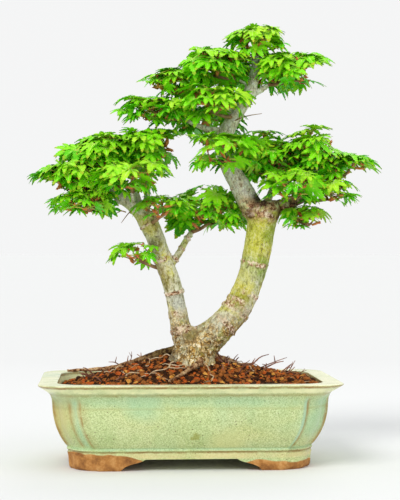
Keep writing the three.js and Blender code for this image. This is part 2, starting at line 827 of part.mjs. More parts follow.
function build() {
  const root = new THREE.Group();
  const plant = new THREE.Group();
  root.add(plant);

  const lines = { trunk: lineOf(TRUNK.path) };
  const fat = { trunk: trunkSolid(GAP) };
  const obstacles = [];
  const block = (owner, solid) => obstacles.push({ owner, solid, box: solid.boundingBox() });
  const add = (name, solid, material) => plant.add(meshOf(name, solid, material));

  add("trunk", trunkSolid(), MATERIALS.bark);
  block("trunk", fat.trunk);

  const boughs = (limbs, material) => {
    for (const limb of limbs) {
      lines[limb.name] ??= lineOf(limb.path);
      const clear = Object.values(fat).reduce((left, cut) => left.subtract(cut), limbSolid(limb));
      add(limb.name, largest(clear), material);
      fat[limb.name] = limbSolid(limb, GAP);
      block(limb.name, fat[limb.name]);
    }
  };
  boughs(LIMBS, MATERIALS.bark);
  boughs(ROOTS, MATERIALS.root);
  boughs(MASSES.filter((mass) => mass.bough).map((mass) => boughOf(mass, lines)), MATERIALS.bark);

  for (const mass of MASSES) {
    mass.stem = stemOf(mass, lines);
    const limb = mass.bough ? `bough_${mass.name}` : mass.limb;
    mass.stem.cut = largest(mass.stem.solid.subtract(fat[limb]));
    block(mass.name, mass.stem.solid);
  }
  MASSES.forEach((mass, index) => {
    const sprigs = growMass(mass, index, obstacles);
    add(`leaves_${mass.name}`, largest(join(sprigs)), MATERIALS.foliage);
    sprigs.forEach((solid) => block(mass.name, solid));
  });

  add("pot", makePot(), MATERIALS.glaze);
  const buried = ["trunk", ...[...LIMBS, ...ROOTS].map(({ name }) => name)];
  add("soil", makeSoil(buried.map((name) => fat[name])), MATERIALS.soil);

  // The origin is on the ground, under the middle of the whole plant's box
  const box = new THREE.Box3().setFromObject(plant);
  const middle = box.getCenter(new THREE.Vector3());
  plant.position.set(-middle.x, -middle.y, -box.min.z);
  return root;
}

export default build();
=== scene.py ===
"""Looks of the potted bonsai maple: glazed pot, granular soil, living bark, and sprays of lobed leaves.

Sizes are millimetres in the pot's own frame: origin on the ground under the pot's middle, +X to the
right along its front, +Y to its back, +Z up. Meshes are turned into metres of the row's frame when made.
"""

import math

import bmesh
import bpy
import numpy as np
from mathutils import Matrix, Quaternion, Vector, bvhtree, kdtree, noise


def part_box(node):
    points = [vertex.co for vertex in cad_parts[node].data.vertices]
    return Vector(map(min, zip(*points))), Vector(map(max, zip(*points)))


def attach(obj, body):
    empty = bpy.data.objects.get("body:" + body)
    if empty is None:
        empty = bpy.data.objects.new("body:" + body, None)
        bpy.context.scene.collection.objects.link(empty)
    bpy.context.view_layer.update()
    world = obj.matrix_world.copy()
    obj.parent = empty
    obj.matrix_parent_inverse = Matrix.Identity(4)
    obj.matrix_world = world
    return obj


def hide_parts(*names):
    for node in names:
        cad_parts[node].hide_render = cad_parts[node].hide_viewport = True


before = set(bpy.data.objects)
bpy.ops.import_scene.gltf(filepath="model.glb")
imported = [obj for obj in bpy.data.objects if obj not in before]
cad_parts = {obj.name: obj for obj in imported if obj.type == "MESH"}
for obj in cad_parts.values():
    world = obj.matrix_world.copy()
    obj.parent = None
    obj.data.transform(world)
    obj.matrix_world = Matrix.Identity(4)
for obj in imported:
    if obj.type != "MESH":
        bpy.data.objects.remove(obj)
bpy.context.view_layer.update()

MM = 0.001
SEED = 2063
CAMERA = {"distance": 1300.0, "height": 177.5, "aside": 10.4, "turn": 3.5, "focal_px": 1544.0}
UP = np.array([0.0, 0.0, 1.0])

# The pot's place and outside size come from the frame
POT_LOW, POT_HIGH = (np.array(corner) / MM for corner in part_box("pot"))
POT_MIDDLE = np.array([(POT_LOW[0] + POT_HIGH[0]) / 2, (POT_LOW[1] + POT_HIGH[1]) / 2, 0.0])
HALF_LENGTH = (POT_HIGH[0] - POT_LOW[0]) / 2
HALF_DEPTH = (POT_HIGH[1] - POT_LOW[1]) / 2
POT_HEIGHT = POT_HIGH[2]
CORNER = 24.0
NOTCH = 4.5
FLOOR_TOP = 18.0
UNDERSIDE = 10.0
SKIRT_INSET = 38.0
ARCH = {"foot_gap": 57.0, "top_gap": 37.0, "side_foot_gap": 30.0, "side_top_gap": 15.0, "lift": 0.4}
DRAIN = {"radius": 7.5, "spread": 46.0}

# Outside of the pot from its feet to its rim: height, inset from the rim, share of the corner notch
OUTER_PROFILE = [
    (0, 26, 0.5), (2.5, 24.4, 0.5), (10.5, 23.7, 0.5), (13.6, 23, 0.5), (15.1, 23.7, 0.5),
    (16.6, 22.3, 0.5), (18.1, 22.9, 0.7), (20.5, 21, 1), (25, 18.2, 1), (30, 15.8, 1), (37, 13.3, 1),
    (46, 11.5, 1), (55, 10.9, 0.9), (59, 10.3, 0.5), (62.5, 8.6, 0.2), (66, 4.4, 0), (68.8, 0.6, 0),
    (69.8, 0, 0), (POT_HEIGHT, 1.2, 0),
]
LIP_PROFILE = [(POT_HEIGHT, 2.4, 0), (POT_HEIGHT, 13.6, 0), (POT_HEIGHT - 0.4, 15.2, 0)]
CAVITY_PROFILE = [(60, 16.6, 0), (40, 20, 0), (24, 26, 0), (FLOOR_TOP, 33, 0)]

# The soil's height at the tree, and how far down in it the wood reaches
GROUND = 82.0
DEEPEST = 66.0

# Layers of grains: spacing, least and greatest radius, how far their tops stand out, and their roundness
GRAINS = [(2.3, 0.9, 1.7, 0.1, 0.6, 1), (4.1, 1.7, 3.6, 0.4, 1.5, 2)]

# The woody frame. Each row is a point of the limb's centre line and its radius there.
LIMBS = {
    "trunk": [
        (3.5, 1, 68, 20), (7.5, 1, 92.5, 16.5), (26.5, -1, 111, 12.4), (41.5, 0, 128, 11.8),
        (52.5, 2, 151.5, 11.2), (59, 2, 176.5, 11.8), (62.5, 1, 199.5, 12.2), (64.5, 0, 211.5, 14.6),
        (64.5, 0, 219, 12),
    ],
    "left_stem": [
        (1.5, 1, 86, 9.5), (-5, 0, 108.5, 8.8), (-8.5, -1, 126.5, 7.6), (-13.5, -3, 149.5, 7.8),
        (-21.5, -5, 170.5, 7.6), (-28, -5, 189.5, 7.7), (-34.5, -4, 202.5, 8.2), (-37.5, -4, 207.5, 6.6),
    ],
    "leader_lower": [
        (60.5, 0, 203.5, 9), (52.5, 0, 216.5, 9.6), (44.5, 0, 231.5, 8.6), (35.5, 1, 247.5, 7.4),
        (29.5, 2, 264.5, 6.8),
    ],
    "leader_upper": [
        (29.5, 2, 261.5, 5.6), (31.5, 3, 274.5, 6.7), (41.5, 3, 292.5, 5.8), (50.5, 1, 306.5, 5.3),
        (55.5, 1, 321.5, 4.7), (58, 2, 335.5, 3.6), (57.5, 2, 341.5, 3),
    ],
    "bough_left_main": [
        (-34.5, -4, 201.5, 6.6), (-43.5, -5, 213, 6.4), (-53.5, -4, 221, 5.9), (-64.5, -3, 227, 4.4),
        (-77.5, -3, 228.5, 3.2),
    ],
    "bough_right_main": [
        (66.5, 1, 210.5, 6), (80.5, 2, 214.5, 6), (91.5, 3, 219.5, 4.8), (97.5, 2, 230.5, 4),
        (99.5, 1, 241.5, 3),
    ],
    "bough_centre": [
        (-16.5, -3, 161.5, 3), (-7.5, 1, 174.5, 3), (-0.5, 5, 186.5, 2.7), (3.5, 7, 192.5, 2.3),
    ],
}
ROOTS = {
    "root_left": [
        (-5.5, 6, 93.5, 4.6), (-19.5, 10, 91, 3.6), (-40.5, 13, 84, 2.6), (-61.5, 14, 78, 2),
        (-79.5, 14, 76, 1.6), (-101.5, 12, 75.5, 1.1),
    ],
    "root_front": [(9.5, -12, 86, 3.4), (7.5, -21, 83.5, 2.4), (-3.5, -38, 78, 1.7), (-17.5, -58, 72, 1)],
    "root_back": [(14.5, 8, 88.5, 4), (26.5, 20, 86, 2.8), (40.5, 32, 81, 1.9), (54.5, 42, 76, 1.1)],
}
FLARE = {"roots": 5, "spread": 0.26, "top": 107.0, "turn": 0.6}
SCAR = {"centre": (1.5, -10.5, 106.5), "size": (7.5, 5.0, 8.0)}

# The masses of foliage: the space that each keeps to, the limb that it grows from and how far along it,
# the radii of the bough that carries it (or None), and how many sprays it bears
MASSES = {
    "left_outer": ("bough_left_main", 1, None, (-97, -4, 236), (31, 30, 21), 23),
    "left_top": ("bough_left_main", 0.72, (3.4, 2.4), (-70, 2, 258), (36, 31, 25), 27),
    "left_inner": ("left_stem", 0.97, (3.6, 2.2), (-32, 0, 261), (33, 30, 24), 26),
    "left_low": ("bough_left_main", 0.45, (2.8, 1.9), (-86, -12, 216), (32, 24, 14), 19),
    "left_front": ("bough_left_main", 0.3, (3, 2), (-48, -38, 235), (33, 23, 19), 20),
    "left_back": ("left_stem", 0.9, (3.4, 2.2), (-52, 43, 256), (40, 28, 28), 24),
    "left_tuft": ("left_stem", 0.93, None, (-24, -25, 210), (25, 18, 15), 14),
    "low_left_spray": ("left_stem", 0.6, None, (-43, -6, 175), (25, 19, 15), 11),
    "centre_pad": ("bough_centre", 1, None, (19, 17, 209), (37, 28, 25), 24),
    "leader_front": ("leader_lower", 0.78, None, (25, -31, 258), (33, 24, 20), 20),
    "right_inner": ("bough_right_main", 0.62, (3.2, 2.2), (73, 16, 254), (34, 30, 27), 26),
    "right_top": ("bough_right_main", 1, None, (107, 2, 259), (29, 31, 23), 24),
    "right_tip": ("bough_right_main", 0.8, (3, 2), (133, -2, 246), (28, 26, 17), 19),
    "right_low": ("bough_right_main", 0.42, (2.8, 1.9), (117, -8, 225), (27, 22, 14), 15),
    "right_lowest": ("bough_right_main", 0.2, (2.6, 1.8), (101, -8, 203), (25, 20, 15), 14),
    "right_front": ("bough_right_main", 0.5, None, (86, -29, 229), (27, 22, 19), 16),
    "right_back": ("trunk", 0.97, (3.8, 2.3), (84, 46, 253), (42, 29, 28), 24),
    "apex": ("leader_upper", 1, None, (60, 1, 352), (27, 25, 19), 19),
    "top_left": ("leader_upper", 0.72, (2.8, 2), (22, -6, 331), (31, 28, 21), 24),
    "top_right": ("leader_upper", 0.6, (2.8, 2), (88, -2, 328), (33, 28, 21), 24),
    "top_far_left": ("leader_upper", 0.42, (2.7, 1.8), (-16, 4, 317), (30, 25, 15), 19),
    "upper_left_tip": ("leader_upper", 0.2, (3, 1.9), (-26, -4, 294), (33, 25, 15), 20),
    "upper_front": ("leader_upper", 0.35, None, (20, -24, 298), (30, 24, 20), 20),
    "top_back": ("leader_upper", 0.65, (2.8, 2), (60, 34, 330), (36, 26, 28), 23),
    "upper_back": ("leader_upper", 0.12, (2.8, 1.9), (18, 36, 287), (34, 24, 19), 19),
}
# Where the photo shows sky through or beside the crown, as it is seen from the front: how far to the right
# and how high, and half the width and height of each opening
OPENINGS = [
    (-7, 260, 9, 12), (-17, 230, 7, 8), (-121, 226, 14, 7), (-41, 329, 13, 7), (-35, 310, 14, 5.5),
    (-8, 340, 6, 8), (114, 324, 12, 7), (153, 235, 14, 7), (122, 214, 10, 5), (95, 357, 12, 7),
    (28, 363, 12, 6), (-60, 191, 16, 8), (-97, 273, 12, 6), (-126, 252, 12, 5), (81, 366, 9, 4.5),
    (130, 268, 9, 8), (14, 223, 10, 3.5), (-44, 221, 4, 4), (121, 196, 12, 5),
]
GROWTH = {
    "entry": 0.8,
    "hub_drop": 0.35,
    "outermost": 0.86,
    "innermost": 0.12,
    "highest": 0.97,
    "lowest": -0.55,
    "tries": 900,
    "fullness": 1.18,
    "apart": 7.6,
    "border": 0.02,
    "stem_radius": 1.8,
    "stem_tip": 1.3,
    "twig_tip": 0.55,
    "limb_clearance": 1.5,
}

# Thin dead snags in the crown: from, to
SNAGS = [
    ((-43, -9, 214), (-56, -13, 200)), ((-52, -10, 209), (-60, -12, 208)),
    ((36, -1, 285), (62, -8, 292)), ((31, 0, 262), (44, -12, 268)),
]

# A leaf: angle and share of each lobe, the depth of the cuts between them, and one lobe's toothed edge as
# shares of its length along it and of its length across it
LOBES = [(-124, 0.42), (-80, 0.72), (-39, 0.92), (0, 1.0), (39, 0.92), (80, 0.72), (124, 0.42)]
CUT = 0.45
TEETH = [
    (0.52, 0.145), (0.56, 0.19), (0.61, 0.14), (0.67, 0.17), (0.72, 0.11), (0.79, 0.13), (0.84, 0.07),
    (0.91, 0.075),
]
LEAF = {
    "length": (13.0, 24.0),
    "petiole": (6.0, 12.0),
    "leaves": 3,
    "tries": 12,
    "reach": 1.24,
    "top": 0.75,
    "full_top": {"centre_pad": 1.0, "right_top": 0.92, "right_inner": 0.92},
    "full_size_from": 17.0,
    "overlap": 0.4,
    "rim_from": 0.84,
    "fan": [0, 62, -62, 125],
    "top_fan": [0, 100, -110, 180],
    "top_from": 0.6,
}
LEAF_KINDS = 10
# How many of the shoots end in a green stem, and how many in a swollen bud
SHOOTS = {"green": 0.45, "swollen": 0.3}
# Greens from light to dark, dealt out as painted shade: leaves low in their mass and deep inside it get the
# darker ones, with a random spread
GREENS = [
    ("leaf_lime", (148, 222, 22), (186, 235, 54)),
    ("leaf_fresh", (126, 216, 12), (160, 230, 30)),
    ("leaf_green", (106, 213, 5), (142, 229, 18)),
    ("leaf_deep", (76, 192, 4), (112, 214, 12)),
    ("leaf_shade", (46, 146, 2), (78, 178, 8)),
]
# The crown's small parts, each kind in one piece: its name, material and slot, darker and lighter colour,
# cells of colour to a metre, roughness, and relief in metres
CROWN_PIECES = {
    "rim": ("leaf_rims", "leaf_rim", "foliage", (108, 178, 12), (180, 192, 48), 70, 0.5),
    "vein": ("leaf_veins", "leaf_vein", "foliage", (166, 222, 70), (198, 236, 110), 60, 0.5),
    "twig": ("fine_twigs", "twig_bark", "bark", (112, 76, 50), (178, 144, 106), 120, 0.75, 0.0004),
    "stalk": ("leaf_stalks", "leaf_stalk", "foliage", (150, 150, 48), (196, 196, 92), 60, 0.5),
    "sheath": ("bud_sheaths", "bud_sheath", "foliage", (172, 84, 38), (236, 158, 94), 170, 0.65, 0.0004),
}


def rng_for(*key):
    """A seeded source of random numbers for one named purpose."""
    return np.random.default_rng([SEED, *(sum(map(ord, str(part))) for part in key)])


def unit(vectors):
    vectors = np.asarray(vectors, float)
    return vectors / np.maximum(np.linalg.norm(vectors, axis=-1, keepdims=True), 1e-9)


def between(low, high, share):
    return low + (high - low) * share


def clamp(value, low=0.0, high=1.0):
    return min(high, max(low, value))


def smoothstep(value, low, high):
    t = np.clip((value - low) / (high - low), 0, 1)
    return t * t * (3 - 2 * t)


# Making meshes


def linked(name, data):
    """A new object of the scene."""
    made = bpy.data.objects.new(name, data)
    bpy.context.scene.collection.objects.link(made)
    return made


def make_mesh(name, points, faces, material=None, smooth=True):
    """A mesh object from points in millimetres of the pot's frame and faces of equal size."""
    points = (np.asarray(points, float) + POT_MIDDLE) * MM
    faces = np.asarray(faces, np.int32)
    mesh = bpy.data.meshes.new(name)
    mesh.vertices.add(len(points))
    mesh.vertices.foreach_set("co", points.astype(np.float32).ravel())
    mesh.loops.add(faces.size)
    mesh.loops.foreach_set("vertex_index", faces.ravel())
    mesh.polygons.add(len(faces))
    mesh.polygons.foreach_set("loop_start", np.arange(0, faces.size, faces.shape[1], dtype=np.int32))
    mesh.polygons.foreach_set("use_smooth", np.full(len(faces), smooth))
    if material:
        mesh.materials.append(material)
    mesh.update(calc_edges=True)
    mesh.validate()
    return linked(name, mesh)


def joined(parts):
    """One array of points and one of faces from many such pairs."""
    starts = np.cumsum([0, *(len(points) for points, _ in parts)])
    faces = [np.asarray(faces) + start for (_, faces), start in zip(parts, starts)]
    return np.concatenate([points for points, _ in parts]), np.concatenate(faces)


def ride_as(piece, slot, *nodes):
    """Puts a finished piece on the body, in place of the nodes that it stands for. The slot is not used."""
    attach(piece, "root")
    if nodes:
        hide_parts(*nodes)


def make_piece(name, parts, material, slot, *nodes, smooth=True):
    """Many joined parts as one finished piece."""
    ride_as(make_mesh(name, *joined(parts), material, smooth), slot, *nodes)


def apply_modifiers(piece):
    """Works a piece's modifiers into its mesh for good."""
    bpy.context.view_layer.update()
    evaluated = piece.evaluated_get(bpy.context.evaluated_depsgraph_get())
    piece.data = bpy.data.meshes.new_from_object(evaluated)
    piece.modifiers.clear()


def spline(rows, count):
    """Rows evenly spaced along a Catmull-Rom curve through the given rows, by their first three columns."""
    p = np.asarray(rows, float)
    ends = np.vstack([2 * p[0] - p[1], p, 2 * p[-1] - p[-2]])
    t = np.linspace(0, len(p) - 1, 30 * (len(p) - 1) + 1)
    i = np.minimum(t.astype(int), len(p) - 2)
    f = (t - i)[:, None]
    a, b, c, d = (ends[i + k] for k in range(4))
    dense = 0.5 * (2 * b + (c - a) * f + (2 * a - 5 * b + 4 * c - d) * f**2 + (3 * b - a - 3 * c + d) * f**3)
    steps = np.linalg.norm(np.diff(dense[:, :3], axis=0), axis=1)
    along = np.concatenate([[0], np.cumsum(steps)])
    wanted = np.linspace(0, along[-1], count)
    return np.column_stack([np.interp(wanted, along, column) for column in dense.T])


def lofted(rings, ends=None):
    """Triangles through rings of equally many points, closed by a fan over each end."""
    first, last = ends if ends is not None else (rings[0].mean(axis=0), rings[-1].mean(axis=0))
    points = np.vstack([*rings, first[None], last[None]])
    count = len(rings[0])
    top = (len(rings) - 1) * count
    here = np.arange(count)
    after = (here + 1) % count
    faces = []
    for start in range(0, top, count):
        faces.append(np.column_stack([start + here, start + after, start + count + after]))
        faces.append(np.column_stack([start + here, start + count + after, start + count + here]))
    faces.append(np.column_stack([after, here, np.full(count, len(points) - 2)]))
    faces.append(np.column_stack([top + here, top + after, np.full(count, len(points) - 1)]))
    return points, np.vstack(faces)


def tube(rows, sides, flare=None):
    """A closed tapering tube along rows of x, y, z, radius."""
    rows = np.asarray(rows, float)
    centre = rows[:, :3]
    tangents = unit(np.gradient(centre, axis=0))
    least = np.eye(3)[np.argmin(np.abs(tangents[0]))]
    normal = np.cross(tangents[0], unit(np.cross(tangents[0], least)))
    angle = np.arange(sides) / sides * 2 * np.pi
    rings = []
    for c, tangent, radius in zip(centre, tangents, rows[:, 3]):
        normal = unit(normal - tangent * normal.dot(tangent))
        wide = radius * (flare(c[2], angle) if flare else np.ones(sides))
        around = np.cos(angle)[:, None] * normal + np.sin(angle)[:, None] * np.cross(tangent, normal)
        rings.append(c + wide[:, None] * around)
    return lofted(rings, centre[[0, -1]])


def bent_tube(points, radii, count, sides):
    """A tube along a smooth line through points, with its radius at each of them."""
    return tube(spline(np.column_stack([points, radii]), count), sides)


def ball(subdivisions):
    """A ball with a radius of one."""
    made = bmesh.new()
    bmesh.ops.create_icosphere(made, subdivisions=subdivisions, radius=1.0)
    points = np.array([vertex.co for vertex in made.verts])
    faces = np.array([[vertex.index for vertex in face.verts] for face in made.faces])
    made.free()
    return points, faces


def scattered(shape, places, sizes, turns):
    """One shape set down many times, as joined points and faces."""
    points, faces = shape
    turned = np.einsum("nij,vj->nvi", turns, points) * sizes[:, None, None] + places[:, None, :]
    starts = (np.arange(len(places)) * len(points))[:, None, None]
    return turned.reshape(-1, 3), (faces[None] + starts).reshape(-1, faces.shape[1])


# Materials


def rgb(red, green, blue):
    """A colour given as sRGB values from 0 to 255."""
    linear = [((c / 255 + 0.055) / 1.055) ** 2.4 if c > 10 else c / 255 / 12.92 for c in (red, green, blue)]
    return (*linear, 1.0)


class Shader:
    """A Principled material and short ways to add nodes to it. A colour is three sRGB values."""

    def __init__(self, name, roughness, gloss=0.5):
        self.material = bpy.data.materials.new(name)
        self.material.use_nodes = True
        self.tree = self.material.node_tree
        self.shader = self.tree.nodes["Principled BSDF"]
        self.shader.inputs["Roughness"].default_value = roughness
        self.shader.inputs["Specular IOR Level"].default_value = gloss
        self.place = self.node("TexCoord", "Object")

    def feed(self, socket, value):
        if isinstance(value, bpy.types.NodeSocket):
            self.tree.links.new(value, socket)
        elif socket.type == "RGBA" and isinstance(value, tuple):
            socket.default_value = rgb(*value)
        else:
            socket.default_value = value

    def node(self, kind, output, inputs=None, **settings):
        """An output of a new node."""
        made = self.tree.nodes.new(f"ShaderNode{kind}")
        for key, value in settings.items():
            setattr(made, key, value)
        for socket, value in (inputs or {}).items():
            self.feed(made.inputs[socket], value)
        return made.outputs[output]

    def math(self, operation, a, b=0.0):
        return self.node("Math", 0, {0: a, 1: b}, operation=operation)

    def plus(self, a, b):
        return self.math("ADD", a, b)

    def minus(self, a, b):
        return self.math("SUBTRACT", a, b)

    def times(self, a, b):
        return self.math("MULTIPLY", a, b)

    def axis(self, name):
        return self.node("SeparateXYZ", name, {"Vector": self.place})

    def attribute(self, name):
        return self.node("Attribute", "Fac", attribute_name=name)

    def distance(self, point):
        """How far a point in millimetres of the pot's frame is away, in metres."""
        inputs = {0: self.place, 1: tuple((np.array(point, float) + POT_MIDDLE) * MM)}
        return self.node("VectorMath", "Value", inputs, operation="DISTANCE")

    def rise(self, value, low, high):
        """From 0 to 1 as a value goes from one bound to the other."""
        return self.node("MapRange", 0, {"Value": value, "From Min": low, "From Max": high})

    def band(self, value, low, high, soft):
        """1 where a value lies between two others, and 0 elsewhere."""
        up = self.rise(value, low - soft, low + soft)
        return self.minus(up, self.rise(value, high - soft, high + soft))

    def noise(self, scale, detail=4.0, rough=0.55, distortion=0.0, place=None):
        """Noise with so many cells to a metre."""
        inputs = {"Scale": scale, "Detail": detail, "Roughness": rough, "Distortion": distortion}
        inputs["Vector"] = place or self.place
        return self.node("TexNoise", "Fac", inputs)

    def wander(self, size, *kind):
        """Noise of a kind that swings about zero."""
        return self.times(self.minus(self.noise(*kind), 0.5), size)

    def ramp(self, value, *stops):
        """Colours, or shades of grey, at places from 0 to 1 in rising order."""
        made = self.node("ValToRGB", "Color", {"Fac": value})
        elements = made.node.color_ramp.elements
        while len(elements) < len(stops):
            elements.new(0.5)
        for element, (position, colour) in zip(elements, stops):
            element.position = position
            element.color = rgb(*colour) if isinstance(colour, tuple) else (colour, colour, colour, 1)
        return made

    def mix(self, share, a, b):
        return self.node("Mix", "Result", {"Factor": share, "A": a, "B": b}, data_type="RGBA")

    def coat(self, base, colour, value, *stops):
        """A base under a coat of colour whose share is the value, or follows it by the stops of a ramp."""
        return self.mix(self.ramp(value, *stops) if stops else value, base, colour)

    def daub(self, base, torn, patches):
        """Patches of colour with torn edges: middle, radius, strength and colour of each."""
        for middle, radius, strength, colour in patches:
            share = self.plus(self.times(self.distance(middle), 0.5 / (radius * MM)), torn)
            base = self.coat(base, colour, share, (0.3, strength), (0.62, 0.0))
        return base

    def finished(self, colour, relief=None, depth=0.0, strength=1.0):
        """The material, once it has its colour and a relief so many metres deep."""
        self.feed(self.shader.inputs["Base Color"], colour)
        if relief:
            inputs = {"Height": relief, "Distance": depth, "Strength": strength}
            self.feed(self.shader.inputs["Normal"], self.node("Bump", "Normal", inputs))
        return self.material


def plain_material(name, dark, light, scale, roughness, relief=0.0):
    """One plain colour that varies a little, for the many small joined things."""
    s = Shader(name, roughness, 0.15)
    colour = s.ramp(s.noise(scale, 3), (0.3, dark), (0.7, light))
    return s.finished(colour, s.noise(scale * 4, 4, 0.7) if relief else None, relief, 0.8)


# Bands of the glaze, one partly painted shade, by height in millimetres: from, to, softness, strength,
# colour
GLAZE_AND_PAINTED_SHADE_BANDS = [
    (53.0, 60.0, 3.0, 0.35, (142, 192, 158)),
    (50.4, 52.2, 0.8, 0.35, (158, 156, 88)),
    (63.4, 68.0, 1.0, 0.95, (250, 248, 196)),
    (69.9, 75.0, 0.4, 0.75, (240, 236, 192)),
    # a brownish line under the lip, partly the glaze's own and partly painted shadow under the rim
    (61.0, 63.2, 0.9, 0.6, (160, 140, 74)),
    (67.9, 69.7, 0.5, 0.9, (152, 102, 40)),
    (16.8, 18.8, 0.7, 0.5, (150, 196, 160)),
    (14.3, 16.2, 0.6, 0.8, (140, 100, 40)),
    (10.0, 14.0, 0.9, 0.65, (226, 206, 148)),
]
# An olive blemish low on the front of the pot
BLEMISH = (3.0, 16.0 - HALF_DEPTH, 28.0)
# Where the glaze runs warmer or bluer: middle, radius, strength, colour
GLAZE_TONES = [
    ((-118, -50, 36), 24, 0.6, (200, 186, 112)),
    ((-96, -60, 50), 16, 0.5, (198, 184, 116)),
    ((-112, 30, 62), 26, 0.7, (146, 190, 158)),
    ((108, -60, 44), 22, 0.5, (160, 204, 162)),
    ((-40, -70, 56), 16, 0.4, (152, 200, 164)),
    ((30, -68, 22), 14, 0.5, (206, 206, 140)),
]
# The clay is bare below this height in metres, which falls to the right by a slope and over the front
# arch by a steeper one
BARE_CLAY = {"top": 0.0102, "full": 0.0094, "slope": 0.028, "arch_slope": 0.2}


def glaze_material():
    """Pale celadon with dark specks, brown where it thins over edges, and bare clay on the feet."""
    s = Shader("pot_glaze", 0.3)
    z, along = s.axis("Z"), s.axis("X")
    mottle = s.noise(30, 5, 0.6, 0.6)
    body = s.ramp(mottle, (0.3, (180, 200, 134)), (0.5, (198, 213, 150)), (0.72, (212, 221, 164)))
    body = s.coat(body, (202, 192, 120), s.noise(9, 3, 0.5, 0.3), (0.46, 0.0), (0.7, 0.5))
    body = s.coat(body, (158, 200, 158), s.noise(13, 3, 0.5, 0.6), (0.52, 0.0), (0.72, 0.5))
    # the glaze has broken into light and dark grains
    grain = s.noise(1000, 3, 0.8)
    body = s.coat(body, (130, 146, 88), grain, (0.4, 0.7), (0.51, 0.0))
    body = s.coat(body, (230, 236, 200), grain, (0.54, 0.0), (0.66, 0.45))
    cells = s.node("TexVoronoi", "Distance", {"Vector": s.place, "Scale": 300.0, "Randomness": 1.0})
    few = s.ramp(s.noise(200, 2), (0.48, 0.0), (0.56, 1.0))
    specks = s.times(s.times(s.ramp(cells, (0.1, 1.0), (0.22, 0.0)), few), 0.8)
    body = s.coat(body, (92, 76, 34), specks)
    blot = s.times(s.plus(s.distance(BLEMISH), s.wander(0.012, 260, 3)), 100)
    body = s.coat(body, (140, 140, 34), blot, (0.25, 0.6), (0.45, 0.0))
    body = s.daub(body, s.wander(0.5, 40, 4), GLAZE_TONES)
    uneven = s.plus(z, s.wander(0.0022, 120, 4, 0.7))
    for low, high, soft, strength, colour in GLAZE_AND_PAINTED_SHADE_BANDS:
        share = s.times(s.band(uneven, low * MM, high * MM, soft * MM), strength)
        broken = s.ramp(s.noise(60, 4, 0.6), (0.3, 0.35), (0.6, 1.0))
        body = s.coat(body, colour, s.times(share, broken))
    seams = s.times(s.attribute("seam"), s.ramp(s.noise(80, 4, 0.65), (0.34, 0.25), (0.58, 1.0)))
    body = s.coat(body, (156, 118, 48), seams)
    # painted highlight: pale strips down the corners of the glaze
    body = s.coat(body, (168, 218, 190), s.times(s.attribute("highlight_strip"), 0.6))
    # the feet are bare, but over the arch between them the glaze goes right down
    from_middle = s.math("ABSOLUTE", s.minus(along, float(POT_MIDDLE[0]) * MM))
    over_arch = s.math("MAXIMUM", s.minus(ARCH["foot_gap"] * MM, from_middle), 0.0)
    line = s.plus(s.plus(z, s.wander(0.016, 24, 3)), s.times(along, BARE_CLAY["slope"]))
    line = s.plus(line, s.times(over_arch, BARE_CLAY["arch_slope"]))
    bare = s.rise(line, BARE_CLAY["top"], BARE_CLAY["full"])
    clay = s.ramp(s.noise(110, 5, 0.7), (0.3, (116, 70, 28)), (0.5, (176, 120, 58)), (0.7, (210, 162, 100)))
    s.feed(s.shader.inputs["Roughness"], s.ramp(bare, (0.0, 0.26), (1.0, 0.85)))
    relief = s.minus(s.plus(s.times(mottle, 0.6), s.times(grain, 0.3)), s.times(specks, 0.3))
    return s.finished(s.mix(bare, body, clay), relief, 0.0006, 0.5)


# Patches of colour on the bark, one partly painted light: middle, radius, strength, colour
BARK_PATCHES_AND_PAINTED_LIGHT = [
    ((60, -9, 192), 24, 0.8, (216, 214, 62)),
    ((72, -5, 190), 11, 0.75, (150, 176, 48)),
    ((66, -6, 160), 12, 0.8, (140, 172, 42)),
    ((50, -10, 158), 10, 0.6, (210, 212, 138)),
    ((43, -9, 136), 9, 0.85, (166, 164, 22)),
    # yellow olive at the left stem's top, and partly painted light, made brighter where the leaves above
    # shade it
    ((-31, -10, 199), 11, 0.8, (200, 188, 66)),
    ((-22, -9, 190), 6, 0.7, (226, 224, 196)),
    ((-28, -10, 182), 6, 0.8, (92, 90, 36)),
    ((-24, -9, 161), 7, 0.7, (160, 138, 42)),
    ((-19, -9, 150), 7, 0.6, (160, 142, 48)),
    ((-6, -9, 133), 9, 0.8, (212, 216, 204)),
    ((24, -12, 119), 9, 0.7, (228, 226, 204)),
    ((1, -15, 107), 6, 0.7, (118, 110, 42)),
    ((10, -18, 91), 10, 0.6, (178, 150, 60)),
]
# Marks on the bark, and painted shade: middle, radius, strength, colour
BARK_MARKS_AND_PAINTED_SHADE = [
    # painted shade, almost black, in the hollow of the trunk's cut top
    ((61, -6, 218), 9, 0.9, (40, 24, 10)),
    ((50, -9, 207), 5, 0.7, (84, 50, 32)),
    ((76, -6, 207), 5, 0.6, (96, 60, 40)),
    ((-13, -4, 90), 6, 0.6, (70, 54, 22)),
    ((1.5, -14, 107), 9, 0.45, (226, 204, 150)),
    ((1.5, -14.5, 107), 5.5, 0.65, (128, 120, 48)),
]


